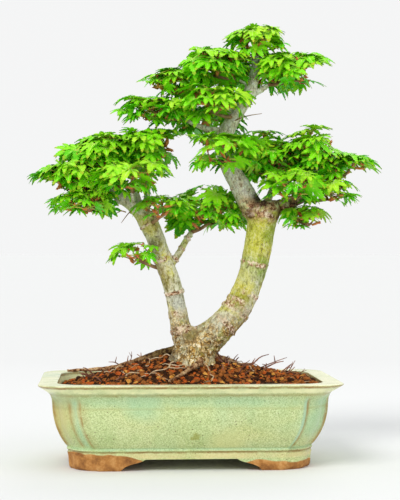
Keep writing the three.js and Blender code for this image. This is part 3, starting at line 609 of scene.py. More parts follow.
def bark_material():
    """Olive bark with fine streaks, pale grey patches, corky scars, and dead bark where limbs were cut."""
    s = Shader("living_bark", 0.72, 0.3)
    x, z = s.axis("X"), s.axis("Z")
    stretched = s.node("Mapping", 0, {"Vector": s.place, "Scale": (1.0, 1.0, 0.45)})
    streak = s.noise(300, 6, 0.75, 0.3, stretched)
    fine = s.noise(640, 4, 0.75)
    # young bark runs from leaf green through grey green to yellow olive
    cloud = s.noise(26, 3, 0.55, 0.8)
    green = s.ramp(cloud, (0.36, (158, 182, 60)), (0.46, (204, 207, 116)), (0.58, (226, 216, 62)))
    pale = s.ramp(streak, (0.38, (172, 164, 118)), (0.48, (226, 222, 192)), (0.62, (248, 248, 236)))
    # the left stem, and the trunk low down on its left, are paler
    patch = s.plus(s.noise(44, 4, 0.6, 1.0), s.times(s.rise(x, 0.016, -0.02), 0.09))
    base = s.mix(s.ramp(patch, (0.5, 0.1), (0.58, 0.85)), green, pale)
    torn = s.wander(0.8, 110, 5, 0.7)
    base = s.daub(base, torn, BARK_PATCHES_AND_PAINTED_LIGHT)
    base = s.coat(base, (106, 98, 32), streak, (0.38, 0.6), (0.47, 0.0))
    base = s.coat(base, (238, 236, 186), streak, (0.52, 0.0), (0.63, 0.6))
    # the leader is pale grey
    high = s.rise(z, 0.208, 0.226)
    grey = s.ramp(streak, (0.36, (158, 132, 98)), (0.43, (242, 236, 204)), (0.6, (255, 254, 244)))
    base = s.mix(s.times(high, 0.92), base, grey)
    # the dark grain of the bark, fainter on the leader, and the light grain
    dark = s.times(s.ramp(fine, (0.36, 0.6), (0.46, 0.0)), s.minus(1.0, s.times(high, 0.7)))
    base = s.coat(base, (88, 78, 26), dark)
    base = s.coat(base, (244, 240, 214), fine, (0.56, 0.0), (0.66, 0.45))
    # cork round the foot, cracked into plates, as, more faintly, is the bark of the leader
    low = s.rise(z, 0.13, 0.108)
    stops = [(0.38, (70, 46, 12)), (0.46, (184, 138, 60)), (0.52, (232, 194, 112)), (0.59, (255, 248, 218))]
    cork = s.ramp(s.noise(300, 5, 0.75, 0.5), *stops)
    wobble = s.node("TexNoise", "Color", {"Vector": s.place, "Scale": 150.0, "Detail": 3.0})
    bent = s.node("VectorMath", 0, {0: wobble, "Scale": 0.012}, operation="SCALE")
    bent = s.node("VectorMath", 0, {0: bent, 1: stretched}, operation="ADD")
    plates = s.node("TexVoronoi", "Distance", {"Vector": bent, "Scale": 200.0}, feature="DISTANCE_TO_EDGE")
    gaps = s.ramp(plates, (0.02, 1.0), (0.12, 0.0))
    cork = s.coat(cork, (78, 52, 16), s.times(gaps, 0.6))
    base = s.coat(base, (146, 112, 84), s.times(s.times(gaps, high), 0.4))
    ragged = s.ramp(s.noise(90, 5, 0.7, 0.6), (0.4, 0.1), (0.52, 1.0))
    base = s.mix(s.times(low, ragged), base, cork)
    # dead bark round the cut top of the trunk, with painted shade almost black in its hollow
    collar = s.times(s.band(z, 0.203, 0.2205, 0.004), s.ramp(x, (0.018, 0.0), (0.03, 1.0)))
    stops = [(0.38, (44, 22, 12)), (0.47, (138, 78, 46)), (0.58, (230, 190, 144))]
    dead = s.ramp(s.noise(280, 4, 0.75), *stops)
    rough = s.ramp(s.noise(150, 4, 0.7), (0.4, 0.0), (0.5, 1.0))
    base = s.mix(s.times(collar, rough), base, dead)
    base = s.daub(base, torn, BARK_MARKS_AND_PAINTED_SHADE)
    base = s.coat(base, (76, 58, 22), s.noise(240, 5, 0.7, 0.9, stretched), (0.34, 0.75), (0.42, 0.0))
    stops = [(0.38, (62, 28, 14)), (0.47, (186, 134, 86)), (0.55, (250, 232, 204))]
    scar = s.ramp(s.noise(360, 4, 0.75), *stops)
    relief = s.plus(s.times(streak, 0.8), s.times(fine, 0.4))
    relief = s.minus(relief, s.times(s.times(gaps, low), 0.35))
    return s.finished(s.mix(s.attribute("scar"), base, scar), relief, 0.0026)


def root_material():
    """Brown bark, dark and mossy near the trunk."""
    s = Shader("root_bark", 0.85, 0.15)
    grain = s.noise(240, 5, 0.75)
    bark = s.ramp(grain, (0.38, (62, 36, 20)), (0.47, (140, 96, 60)), (0.58, (212, 178, 134)))
    near = s.ramp(s.times(s.distance((-14.0, 10.0, 90.0)), 10), (0.12, 0.85), (0.4, 0.0))
    moss = s.ramp(grain, (0.42, (28, 18, 6)), (0.58, (92, 76, 30)))
    return s.finished(s.mix(near, bark, moss), grain, 0.0015)


def soil_material():
    s = Shader("soil_bed", 0.95, 0.1)
    colour = s.ramp(s.noise(300, 5, 0.7), (0.3, (24, 11, 4)), (0.7, (78, 42, 18)))
    return s.finished(colour, s.noise(500, 4, 0.7), 0.002)


def leaf_material(name, dark, light):
    s = Shader(name, 0.5, 0.22)
    return s.finished(s.ramp(s.noise(90, 3), (0.3, dark), (0.7, light)), s.noise(900, 3), 0.0003, 0.5)


# The pot

# Where the outline has its points round a corner, in how many parts it divides the long and the short
# walls, and over which degrees from a wall panel the corner steps back
CORNER_DEGREES = np.array([0, 2, 5, 9, 13, 20, 28, 36.5, 45, 53.5, 62, 70, 77, 81, 85, 88, 90])
WALL_PARTS = (24, 16)
STEP_DEGREES = (1, 13)
PROFILE_ROWS = 74


def level(z, inset, notch=0.0):
    """The pot's outline at a height, a rectangle with round corners set back between the wall panels."""
    length, depth = HALF_LENGTH - inset - CORNER, HALF_DEPTH - inset - CORNER
    from_panel = np.minimum(CORNER_DEGREES, 90 - CORNER_DEGREES)
    radius = CORNER - NOTCH * max(notch, 0) * smoothstep(from_panel, *STEP_DEGREES)
    angle = np.radians(CORNER_DEGREES)
    corner = np.column_stack([length + radius * np.cos(angle), depth + radius * np.sin(angle)])
    quarters = [corner, corner[::-1] * (-1, 1), -corner, corner[::-1] * (1, -1)]
    ring = []
    for number, quarter in enumerate(quarters):
        shares = np.linspace(0, 1, WALL_PARTS[number % 2] + 1)[1:-1, None]
        ring += [quarter, between(quarter[-1], quarters[(number + 1) % 4][0], shares)]
    ring = np.vstack(ring)
    return np.column_stack([ring, np.full(len(ring), z)])


def cut_away(pot, name, shape):
    """Takes a shape out of the pot for good."""
    cutter = make_mesh(name, *shape)
    cut = pot.modifiers.new("cut", "BOOLEAN")
    cut.operation = "DIFFERENCE"
    cut.solver = "EXACT"
    cut.object = cutter
    apply_modifiers(pot)
    bpy.data.objects.remove(cutter)


def arch(bottom, top, across):
    """The open arch between two feet, run right through the pot from front to back or from side to side."""
    height = UNDERSIDE - ARCH["lift"]
    bend = np.array([(bottom, 0), (bottom - 4, 0.7 * height), (top + 4, 0.6 * height), (top, height)])
    t = np.linspace(0, 1, 9)[:, None]
    curve = sum(math.comb(3, k) * (1 - t) ** (3 - k) * t**k * bend[k] for k in range(4))
    shape = np.vstack([[(bottom, -1.0)], curve, curve[::-1] * (-1, 1), [(-bottom, -1.0)]])
    rings = []
    for y in (1.1 * HALF_LENGTH, -1.1 * HALF_LENGTH):
        ring = np.column_stack([shape[:, 0], np.full(len(shape), y), shape[:, 1]])
        rings.append(ring if across else ring[:, [1, 0, 2]] * (-1, 1, 1))
    return lofted(rings)


def make_pot():
    rows = [*spline(OUTER_PROFILE, PROFILE_ROWS), *LIP_PROFILE, *CAVITY_PROFILE]
    pot = make_mesh("pot_glazed", *lofted([level(*row) for row in rows]), glaze_material())
    cut_away(pot, "cut_skirt", lofted([level(z, SKIRT_INSET) for z in (-1.0, UNDERSIDE)]))
    cut_away(pot, "cut_front", arch(ARCH["foot_gap"], ARCH["top_gap"], True))
    cut_away(pot, "cut_side", arch(ARCH["side_foot_gap"], ARCH["side_top_gap"], False))
    for x in (-DRAIN["spread"], DRAIN["spread"]):
        rows = [(x, 0, z, DRAIN["radius"]) for z in (UNDERSIDE - 3, FLOOR_TOP + 3)]
        cut_away(pot, "cut_drain", tube(rows, 32))
    soften(pot)
    ride_as(pot, "glaze", "pot")


# Lines by the edges of the wall panels, brown seams where the glaze thins and pale strips of painted
# highlight:
# degrees round the corner from the front or back panel, and half the width of each line
PANEL_LINES = {
    "seam": {"left": [(3, 2.5), (30, 3.0), (85, 3.0)], "right": [(13, 1.6), (85, 3.0)]},
    "highlight_strip": {"left": [(16, 4.0)], "right": [(7, 4.0)]},
}
# The heights between which these lines run, and how far they take to fade there
PANEL = {"bottom": 17, "fade_in": 4, "top": 61, "fade_out": 6}
# How fine each wave of the pot's unevenness is, and how high
WAVES = [(0.018, 0.4), (0.06, 0.12)]
# Edges as sharp as this, or sharper, are shaded so
SHARP = math.radians(32)


def line_shares(x, y, z):
    """How much a point of the pot lies on each kind of line."""
    inset = np.interp(z, *np.array(OUTER_PROFILE).T[:2])
    out_x = abs(x) - (HALF_LENGTH - inset - CORNER)
    out_y = abs(y) - (HALF_DEPTH - inset - CORNER)
    ends = min((z - PANEL["bottom"]) / PANEL["fade_in"], (PANEL["top"] - z) / PANEL["fade_out"], 1.0)
    if min(out_x, out_y) < -3 or ends <= 0 or math.hypot(out_x, out_y) < CORNER - 2 * NOTCH:
        return [0.0 for _ in PANEL_LINES]
    degrees = 90 - math.degrees(math.atan2(out_y, out_x))
    side = "left" if x < 0 else "right"
    shares = []
    for lines in PANEL_LINES.values():
        share = sum(math.exp(-(((degrees - at) / wide) ** 2)) for at, wide in lines[side])
        shares.append(ends * min(1.0, share))
    return shares


def soften(pot):
    """The slight unevenness of a pressed and fired pot, and sharp shading only at real edges."""
    made = bmesh.new()
    made.from_mesh(pot.data)
    layers = [made.verts.layers.float.new(name) for name in PANEL_LINES]
    for vertex in made.verts:
        co = vertex.co / MM
        for layer, share in zip(layers, line_shares(co.x - POT_MIDDLE[0], co.y - POT_MIDDLE[1], co.z)):
            vertex[layer] = share
        wave = sum(noise.noise(co * fine) * height for fine, height in WAVES)
        flat = Vector((vertex.normal.x, vertex.normal.y, 0.4 * vertex.normal.z * (co.z > 40)))
        vertex.co += flat * (wave * clamp((co.z - 3) / 12) * MM)
    for edge in made.edges:
        edge.smooth = len(edge.link_faces) == 2 and edge.calc_face_angle(0.0) < SHARP
    for face in made.faces:
        face.smooth = True
    made.to_mesh(pot.data)
    made.free()


# The soil

# How far in from the rim's outside the pot's inner wall stands at the soil's height
WALL_INSET = 17.2
# The trunk's foot, which keeps the grains off: middle and radius
FOOT = (6, 1, 12)
# Kinds of grain: darker and lighter colour, and share of all the grains
GRAIN_KINDS = [
    ("brown", (104, 57, 20), (178, 108, 50), 0.42),
    ("rust", (146, 60, 16), (208, 106, 40), 0.17),
    ("dark", (30, 15, 6), (78, 44, 22), 0.33),
    ("ochre", (186, 118, 40), (228, 170, 84), 0.07),
]
GRAIN_SHAPES = 6
GRAIN_FACETS = 7


def soil_surface():
    """A search tree over the solid soil, in millimetres of the pot's frame."""
    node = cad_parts["soil"]
    points = [node.matrix_world @ vertex.co / MM - Vector(POT_MIDDLE) for vertex in node.data.vertices]
    return bvhtree.BVHTree.FromPolygons(points, [tuple(face.vertices) for face in node.data.polygons])


SOIL_SURFACE = soil_surface()


def soil_height(x, y):
    """The height of the soil's surface over each point of the pot."""
    heights = []
    for place in zip(np.ravel(x), np.ravel(y)):
        hit = SOIL_SURFACE.ray_cast(Vector((*place, 2 * POT_HEIGHT)), Vector((0, 0, -1)))[0]
        heights.append(hit.z if hit else DEEPEST)
    return np.array(heights)


def over_soil(xy, lift):
    x, y = np.array(xy, float).T
    return np.column_stack([x, y, soil_height(x, y) + lift])


def inside_wall(x, y, margin):
    """Whether points lie inside the pot's wall at the soil's height, by a margin."""
    dx = np.abs(x) - (HALF_LENGTH - WALL_INSET - margin - CORNER)
    dy = np.abs(y) - (HALF_DEPTH - WALL_INSET - margin - CORNER)
    return np.hypot(np.maximum(dx, 0), np.maximum(dy, 0)) + np.minimum(np.maximum(dx, dy), 0) < CORNER


def grain_shape(subdivisions, rng):
    """An angular little lump with a radius of about one."""
    points, faces = ball(subdivisions)
    for _ in range(GRAIN_FACETS):
        normal = unit(rng.normal(size=3))
        points -= np.maximum(points @ normal - rng.uniform(0.55, 0.85), 0)[:, None] * normal
    return points * rng.uniform(0.75, 1.2, 3), faces


def random_turns(count, rng):
    """Random rotation matrices."""
    turns = [Quaternion(q).to_matrix() for q in unit(rng.normal(size=(count, 4)))]
    return np.array(turns).reshape(count, 3, 3)


def grain_layer(spacing, low, high, least, most, subdivisions, rng):
    """The places, sizes and kinds of the grains of one layer, and the shapes that they may have."""
    xs = np.arange(-HALF_LENGTH, HALF_LENGTH, spacing)
    ys = np.arange(-HALF_DEPTH, HALF_DEPTH, spacing)
    x, y = (side.ravel() + rng.uniform(-0.5, 0.5, side.size) * spacing for side in np.meshgrid(xs, ys))
    size = rng.uniform(low, high, x.size)
    keep = inside_wall(x, y, 0.6) & (np.hypot(x - FOOT[0], y - FOOT[1]) > FOOT[2])
    x, y, size = x[keep], y[keep], size[keep]
    places = over_soil(np.column_stack([x, y]), rng.uniform(least, most, x.size) - size * 0.85)
    shares = np.cumsum([kind[3] for kind in GRAIN_KINDS])
    kind = np.searchsorted(shares, rng.uniform(0, shares[-1] - 1e-9, x.size))
    return places, size, kind, [grain_shape(subdivisions, rng) for _ in range(GRAIN_SHAPES)]


def make_soil():
    """Grains of baked clay, each bedded so that only its top stands out of the soil's own surface."""
    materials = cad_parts["soil"].data.materials
    materials.clear()
    materials.append(soil_material())
    rng = rng_for("grains")
    layers = [grain_layer(*row, rng) for row in GRAINS]
    for number, (name, dark, light, _) in enumerate(GRAIN_KINDS):
        parts = []
        for places, size, kind, shapes in layers:
            which = rng.integers(0, len(shapes), len(places))
            for k, shape in enumerate(shapes):
                mine = (kind == number) & (which == k)
                parts.append(scattered(shape, places[mine], size[mine], random_turns(mine.sum(), rng)))
        material = plain_material(f"grain_{name}", dark, light, 420, 0.9, 0.0008)
        make_piece(f"grains_{name}", parts, material, "soil", smooth=False)


# Where fine roots start by the trunk and the way that each heads, and how many more start anywhere between
# two bounds of place and heading
ROOT_STARTS = [(-4, -15, -2.2), (12, -17, -1.2), (-12, -9, -2.7), (-12, 10, 2.8), (24, 8, 0.5)]
STRAY_ROOTS = 12
STRAY_BOUNDS = [(-85, -50, -3.1), (85, 45, 3.1)]
# Clusters of dead twiglets: middle, how many, how far they lean to the right, and their length
TWIGLETS = [
    (30, 0, 8, 0.3, 9), (46, 2, 2, 1.5, 20), (56, 6, 3, 1.7, 20), (80, 2, 5, 0.8, 13), (92, 8, 3, 0.7, 11),
    (40, -30, 3, 0.6, 11), (-52, 6, 3, -0.3, 12), (-82, 4, 5, -0.6, 12), (-70, -25, 3, 0.2, 9),
    (-40, 40, 3, -0.2, 11), (40, 45, 4, 0.3, 11),
]


def root_path(x, y, heading, length, rng):
    """A wandering way over the soil that stops at the pot's wall."""
    steps = 9
    path = [(x, y)]
    for _ in range(steps):
        heading += rng.normal() * 0.28
        x += math.cos(heading) * length / steps
        y += math.sin(heading) * length / steps
        if not inside_wall(x, y, 4):
            break
        path.append((x, y))
    return path


def twiglet(x, y, lean, length, rng):
    """A dead twiglet that sticks up out of the soil, forked or not, as tubes."""
    start = over_soil([(x, y)], 0.5)[0]
    direction = unit([lean + rng.normal() * 0.5, rng.normal() * 0.4, rng.uniform(0.35, 0.95)])
    length *= rng.uniform(0.6, 1.25)
    bend = unit(rng.normal(size=3)) * length * 0.12
    thick = rng.uniform(0.45, 0.85)
    fork = start + direction * length * 0.55 + bend
    tubes = [bent_tube([start, fork, start + direction * length], thick * np.array([1, 0.75, 0.4]), 7, 5)]
    if rng.uniform() < 0.6:
        side = unit(direction + rng.normal(size=3) * 0.6)
        side[2] = abs(side[2])
        tubes.append(tube([(*fork, thick * 0.7), (*(fork + side * length * 0.4), thick * 0.35)], 4))
    return tubes


def make_litter():
    """Fine pale roots that lie over the soil, and dead twiglets that stick up out of it."""
    rng = rng_for("litter")
    roots = []
    for x, y, heading in [*ROOT_STARTS, *rng.uniform(*STRAY_BOUNDS, (STRAY_ROOTS, 3))]:
        path = root_path(x, y, heading, rng.uniform(20, 52), rng)
        if len(path) > 3:
            lifts = 0.9 + rng.uniform(-0.9, 1.1, len(path))
            radii = between(rng.uniform(0.45, 0.85), 0.22, np.linspace(0, 1, len(path)))
            roots.append(bent_tube(over_soil(path, lifts), radii, 3 * len(path), 6))
    twigs = []
    for x, y, count, lean, length in TWIGLETS:
        for _ in range(count):
            twigs += twiglet(x + rng.normal() * 5, y + rng.normal() * 4, lean, length, rng)
    pale = plain_material("dry_root", (158, 122, 82), (228, 206, 172), 160, 0.85, 0.0004)
    make_piece("fine_roots", roots, pale, "root")
    dead = plain_material("dead_twig", (74, 36, 26), (176, 126, 100), 70, 0.9)
    make_piece("dead_twigs", twigs, dead, "root")


# The limbs


def root_flare(z, angle):
    share = clamp((FLARE["top"] - z) / (FLARE["top"] - GROUND))
    return 1 + FLARE["spread"] * share * share * (0.4 + 0.6 * np.cos(FLARE["roots"] * angle + FLARE["turn"]))


def space(name):
    """The middle and the half sizes of a mass's space."""
    return np.array(MASSES[name][3:5], float)


def route(name):
    """Where a mass's bough leaves its limb, where it enters the mass's space, and the hub of its twigs."""
    limb, at, *_ = MASSES[name]
    centre, half = space(name)
    start = spline(LIMBS[limb], 201)[round(200 * at), :3]
    out = np.linalg.norm((start - centre) / half)
    entry = between(centre, start, GROWTH["entry"] / out) if out > GROWTH["entry"] else start
    return start, entry, centre - (0, 0, GROWTH["hub_drop"] * half[2])


def bough_rows(name):
    start, entry, _ = route(name)
    thick, thin = MASSES[name][2]
    middle = between(start, entry, 0.5)
    middle[2] -= 0.08 * np.linalg.norm(entry - start)
    return [(*start, thick), (*middle, (thick + thin) / 2), (*entry, thin)]


def all_limbs():
    """Every woody limb as closely spaced rows of its centre line and radius."""
    rows = {name: spline(path, 40) for name, path in {**LIMBS, **ROOTS}.items()}
    for name, (_, _, bough, *_) in MASSES.items():
        if bough:
            rows[f"bough_{name}"] = spline(bough_rows(name), 14)
    return rows


LIMB_ROWS = all_limbs()
LIMB_POINTS = np.vstack(list(LIMB_ROWS.values()))

# Places along a limb, as shares of its length, where old bud scars ring it, and how wide each ring is
SCAR_RINGS = {
    "trunk": [(0.35, 1.8), (0.42, 2.4), (0.465, 2.2), (0.524, 1.2), (0.68, 1.9), (0.93, 4.5)],
    "left_stem": [(0.2, 2.6), (0.31, 2.8), (0.45, 1.3), (0.69, 1.5), (0.93, 2.2)],
    "leader_lower": [(0.14, 2.6), (0.5, 1.2), (0.8, 1.6)],
    "leader_upper": [(0.15, 1.6), (0.35, 1.2), (0.55, 1.4), (0.78, 1.2)],
    "bough_left_main": [(0.3, 1.2), (0.6, 1.2)],
    "bough_right_main": [(0.25, 1.4), (0.6, 1.2)],
    "bough_centre": [(0.25, 1.0), (0.55, 1.0), (0.85, 1.0)],
}


# The heights below which the trunk begins to be corky, and is fully so
CORK = {"top": 118, "full": 90}


def scar_ring(place, name, share, length):
    """How much a place on a limb lies on one of its rings, which are broken off here and there."""
    ring = 0.0
    for at, wide in SCAR_RINGS.get(name, []):
        wander = noise.noise(place * 0.12 + Vector((at * 50, 0, 0))) * 2.2
        apart = ((share - at) * length + wander) / wide
        ring = max(ring, math.exp(-apart * apart))
    return ring * clamp(0.75 + 2.2 * noise.noise(place * 0.085), 0.12)


def bark_relief(points):
    """How far each point of the bark stands out, and how much it is scarred."""
    labels = []
    for name, rows in LIMB_ROWS.items():
        length = np.linalg.norm(np.diff(rows[:, :3], axis=0), axis=1).sum()
        labels += [(name, k / (len(rows) - 1), length, row) for k, row in enumerate(rows)]
    tree = kdtree.KDTree(len(labels))
    for index, (*_, row) in enumerate(labels):
        tree.insert(Vector(row[:3]), index)
    tree.balance()
    relief = []
    for x, y, z in points:
        place = Vector((x, y, z))
        (_, nearest, _), (_, second, _) = tree.find_n(place, 2)
        name, share, length, row = labels[nearest]
        if labels[second][0] == name:
            share = (share + labels[second][1]) / 2
        ring = scar_ring(place, name, share, length)
        rough = noise.fractal(Vector((x, y, z * 0.4)) * 0.35, 0.6, 2.0, 4) * 0.32
        cork = (abs(noise.noise(place * 0.24)) - 0.25) * 2.2 + noise.noise(place * 0.6) * 0.5
        rough += clamp((CORK["top"] - z) / (CORK["top"] - CORK["full"])) * cork
        flaky = 0.9 + 1.04 * noise.noise(place * 0.55)
        scarred = clamp(ring * (0.8 + 2.2 * (noise.noise(place * 0.4) + 0.2)))
        relief.append((rough * min(1.0, row[3] / 6) + ring * flaky, scarred))
    return np.array(relief).T


def remeshed(piece, voxel, smoothing):
    """One even skin over joined and overlapping closed shapes."""
    remesh = piece.modifiers.new("skin", "REMESH")
    remesh.mode = "VOXEL"
    remesh.voxel_size = voxel * MM
    relax = piece.modifiers.new("relax", "SMOOTH")
    relax.factor = 0.5
    relax.iterations = smoothing
    apply_modifiers(piece)


def make_roots():
    """The thick roots that run from the trunk's foot out over the soil, knobbly and dark."""
    # without a seed, noise vectors change from run to run
    noise.seed_set(SEED)
    parts = []
    for name in ROOTS:
        rows = LIMB_ROWS[name].copy()
        for row in rows:
            place = Vector(row[:3])
            row[3] *= 1 + 0.3 * noise.noise(place * 0.3)
            row[:3] += np.array(noise.noise_vector(place * 0.12)) * (0.5, 0.9, 0.5)
        parts.append(tube(rows, 12))
    make_piece("surface_roots", parts, root_material(), "root", *ROOTS)


def read(vertices, key):
    """The place or the normal of each of a mesh's vertices."""
    values = np.empty(3 * len(vertices), np.float32)
    vertices.foreach_get(key, values)
    return values.reshape(-1, 3)


def make_wood():
    """The trunk, stems and boughs under one skin of bark, which runs on from limb to limb."""
    wood = {name: rows for name, rows in LIMB_ROWS.items() if name not in ROOTS}
    parts = []
    for name, rows in wood.items():
        sides = 20 if rows[:, 3].max() > 5 else 12
        parts.append(tube(rows, sides, root_flare if name == "trunk" else None))
    lump, faces = ball(2)
    parts.append((lump * SCAR["size"] + SCAR["centre"], faces))
    piece = make_mesh("wood_bark", *joined(parts), bark_material())
    remeshed(piece, voxel=0.9, smoothing=4)
    mesh = piece.data
    points = read(mesh.vertices, "co") / MM - POT_MIDDLE
    out, scarred = bark_relief(points)
    points += read(mesh.vertices, "normal") * out[:, None]
    points[:, 2] = np.maximum(points[:, 2], DEEPEST)
    mesh.vertices.foreach_set("co", ((points + POT_MIDDLE) * MM).astype(np.float32).ravel())
    mesh.attributes.new("scar", "FLOAT", "POINT").data.foreach_set("value", scarred.astype(np.float32))
    mesh.polygons.foreach_set("use_smooth", np.ones(len(mesh.polygons), bool))
    mesh.update()
    ride_as(piece, "bark", *(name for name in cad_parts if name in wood))


# The leaves

# A lobe's vein: places along the lobe, and half its width at each
VEIN = [(0.03, 0.026), (0.45, 0.02), (0.85, 0.006)]
VEIN_LIFT = 0.012


def fan(hub, edge):
    """Triangles from one point to each stretch of an edge."""
    return [(hub, a, b) for a, b in zip(edge, edge[1:])]


def leaf_shape(kind):
    """A palmate leaf one unit long, its heel at the origin and its middle lobe along +X, with its veins."""
    rng = rng_for("leaf", kind)
    droop, fold, cup = rng.uniform(0.08, 0.4), rng.uniform(0.2, 0.5), rng.uniform(0.02, 0.1)
    points, blade, rim, vein_points, vein = [(0.0, 0.0, 0.0)], [], [], [], []

    def at(angle, along, across=0.0, lift=0.0):
        x = along * math.cos(angle) - across * math.sin(angle)
        y = along * math.sin(angle) + across * math.cos(angle)
        r = math.hypot(x, y)
        return x, y, cup * math.sin(min(1, r / CUT) * math.pi / 2) - droop * r * r + lift

    def add(*place):
        points.append(at(*place))
        return len(points) - 1

    lobes = []
    for degrees, share in LOBES:
        lobes.append((math.radians(degrees + rng.uniform(-5, 5)), share * rng.uniform(0.92, 1.06)))
    cuts = []
    for (a, p), (b, q) in zip(lobes, lobes[1:]):
        cuts.append(add((a + b) / 2, CUT * min(p, q) * rng.uniform(0.9, 1.15) + 0.05))
    edges = [add(lobes[0][0] - 0.5, 0.12), *cuts, add(lobes[-1][0] + 0.5, 0.12)]
    for (angle, share), right, left in zip(lobes, edges, edges[1:]):
        twist = rng.uniform(-0.05, 0.05)
        root = add(angle, 0.34 * share)
        blade += fan(0, [right, root, left])
        for k, (along, across) in enumerate(TEETH):
            bent = angle + twist * along
            sides = []
            for way in (-1, 1):
                lift = fold * across * share + rng.uniform(-0.012, 0.012)
                sides.append(add(bent, (along + 0.02 * (k % 2)) * share, way * across * share, lift))
            here = add(bent, along * share)
            part = rim if along > LEAF["rim_from"] else blade
            part += fan(root, [right, sides[0], here, sides[1], left])
            root, right, left = here, *sides
        rim += fan(root, [right, add(angle + twist, share), left])
        start = len(vein_points)
        for along, wide in VEIN:
            for way in (-1, 1):
                vein_points.append(at(angle + twist * along, along * share, way * wide, VEIN_LIFT))
        for a in (start, start + 2):
            vein += [(a, a + 2, a + 1), (a + 1, a + 2, a + 3)]
    parts = {"blade": (points, blade), "rim": (points, rim), "vein": (vein_points, vein)}
    return {part: (np.array(places), np.array(faces)) for part, (places, faces) in parts.items()}


def share_out(name, points):
    """How far out from a mass's middle points lie, as shares of its size."""
    centre, half = space(name)
    return np.linalg.norm((points - centre) / half, axis=-1)


def in_own_space(name, points, reach, border):
    own = share_out(name, points)
    inside = own <= reach
    for other in MASSES:
        if other != name:
            inside &= own + border < share_out(other, points)
    return inside.all()


def seen_from_front(points):
    """How far to the right and how high the camera sees points, in the plane of the pot's middle."""
    turn = math.radians(CAMERA["turn"])
    right = points[:, 0] * math.cos(turn) - points[:, 1] * math.sin(turn)
    forward = points[:, 0] * math.sin(turn) + points[:, 1] * math.cos(turn)
    nearer = CAMERA["distance"] / (CAMERA["distance"] + forward)
    across = CAMERA["aside"] + (right - CAMERA["aside"]) * nearer
    return np.column_stack([across, CAMERA["height"] + (points[:, 2] - CAMERA["height"]) * nearer])


def leaves_sky_open(points):
    """Whether points keep out of every opening in the crown."""
    openings = np.array(OPENINGS, float)
    apart = np.linalg.norm((seen_from_front(points)[:, None] - openings[:, :2]) / openings[:, 2:], axis=2)
    return (apart > 1).all()


def clear_of_limbs(points, clearance):
    """Whether every one of some points is outside all the limbs."""
    apart = np.linalg.norm(points[:, None] - LIMB_POINTS[:, :3], axis=2)
    return (apart > LIMB_POINTS[:, 3] + clearance).all()


def spray_places(name, rng):
    """Where sprays stand in a mass: round it by the golden angle, over and over, and ever further in."""
    centre, half = space(name)
    wanted = round(MASSES[name][5] * GROWTH["fullness"])
    golden = math.pi * (3 - math.sqrt(5))
    start = rng.uniform(0, 2 * math.pi)
    found = []
    for i in range(GROWTH["tries"]):
        share = between(GROWTH["outermost"], GROWTH["innermost"], i / GROWTH["tries"])
        height = between(GROWTH["highest"], GROWTH["lowest"], i * golden % 1)
        wide = math.sqrt(1 - height * height)
        angle = start + i * golden + rng.uniform(-0.25, 0.25)
        direction = np.array([wide * math.cos(angle), wide * math.sin(angle), height])
        # a leaf is wide, so sprays at the sides stand further in than those at the top
        place = centre + direction * half * share * (1 - 0.32 * wide)
        free = all(np.linalg.norm(place - other["place"]) >= GROWTH["apart"] for other in found)
        free = free and in_own_space(name, place[None], 1, GROWTH["border"])
        if free and clear_of_limbs(place[None], GROWTH["limb_clearance"]):
            found.append({"place": place, "angle": angle, "height": height, "share": share})
        if len(found) == wanted:
            break
    return found


def grow_twigs(name, sprays, rng):
    """Twigs that branch from the stem and from each other out to every spray."""
    start, entry, hub = route(name)
    first = entry if MASSES[name][2] else start
    thick, thin, tip = GROWTH["stem_radius"], GROWTH["stem_tip"], GROWTH["twig_tip"]
    middle = between(first, hub, 0.5) + (0, 0, -1)
    twigs = [bent_tube([first, middle, hub], [thick, (thick + thin) / 2, thin], 8, 7)]
    forks = [(between(first, hub, share), between(thick, thin, share)) for share in (0.5, 0.8, 1)]
    for spray in sorted(sprays, key=lambda spray: np.linalg.norm(spray["place"] - hub)):
        place = spray["place"]
        # the nearest fork that lies further in than the spray
        inner = [fork for fork in forks if np.linalg.norm(fork[0] - hub) < np.linalg.norm(place - hub)]
        fork, radius = min(inner or forks, key=lambda fork: np.linalg.norm(fork[0] - place))
        base = min(radius, 1.25) * 0.85
        sag = np.array([0, 0, -0.1 * np.linalg.norm(place - fork)]) + rng.normal(size=3) * 0.5
        middle = between(fork, place, 0.5) + sag
        path = spline([(*fork, base), (*middle, between(base, tip, 0.5)), (*place, tip)], 7)
        twigs.append(tube(path, 6))
        forks += [(path[k, :3], path[k, 3]) for k in (3, 5)]
        spray["along"] = unit(path[-1, :3] - path[-2, :3])
    return twigs


def leaf_placed(name, spray, offset, low, rng):
    """One leaf of a spray, or None where it would leave its mass's space or run into a limb."""
    centre, half = space(name)
    facing = spray["angle"] + math.radians(offset + rng.uniform(-25, 25))
    length = rng.uniform(*LEAF["length"]) * min(1.0, half[2] / LEAF["full_size_from"])
    hang = between(0.02, 0.4, low) + rng.uniform(-0.32, 0.42)
    stalk = unit([math.cos(facing), math.sin(facing), 0.45 - 0.5 * low + rng.uniform(-0.2, 0.35)])
    heel = spray["place"] + stalk * rng.uniform(*LEAF["petiole"])
    forward = unit([math.cos(facing), math.sin(facing), -hang])
    roll = rng.normal() * 0.4
    up = unit(UP - forward * forward[2])
    side = np.cross(up, forward)
    up, side = up * math.cos(roll) + side * math.sin(roll), side * math.cos(roll) - up * math.sin(roll)
    tips = []
    for degrees, share in LOBES[1:-1]:
        out = forward * math.cos(math.radians(degrees)) + side * math.sin(math.radians(degrees))
        tips.append(heel + (out * share - up * 0.2 * share * share) * length)
    tips = np.array(tips)
    top = centre[2] + LEAF["full_top"].get(name, LEAF["top"]) * half[2]
    fits = (
        in_own_space(name, tips, LEAF["reach"], -LEAF["overlap"])
        and tips[:, 2].max() <= top
        and leaves_sky_open(np.vstack([tips, heel]))
        and clear_of_limbs(np.vstack([tips, (tips + heel) / 2]), 0.1)
    )
    turn = np.column_stack([forward, side, up])
    return {"root": spray["place"], "heel": heel, "turn": turn, "length": length} if fits else None


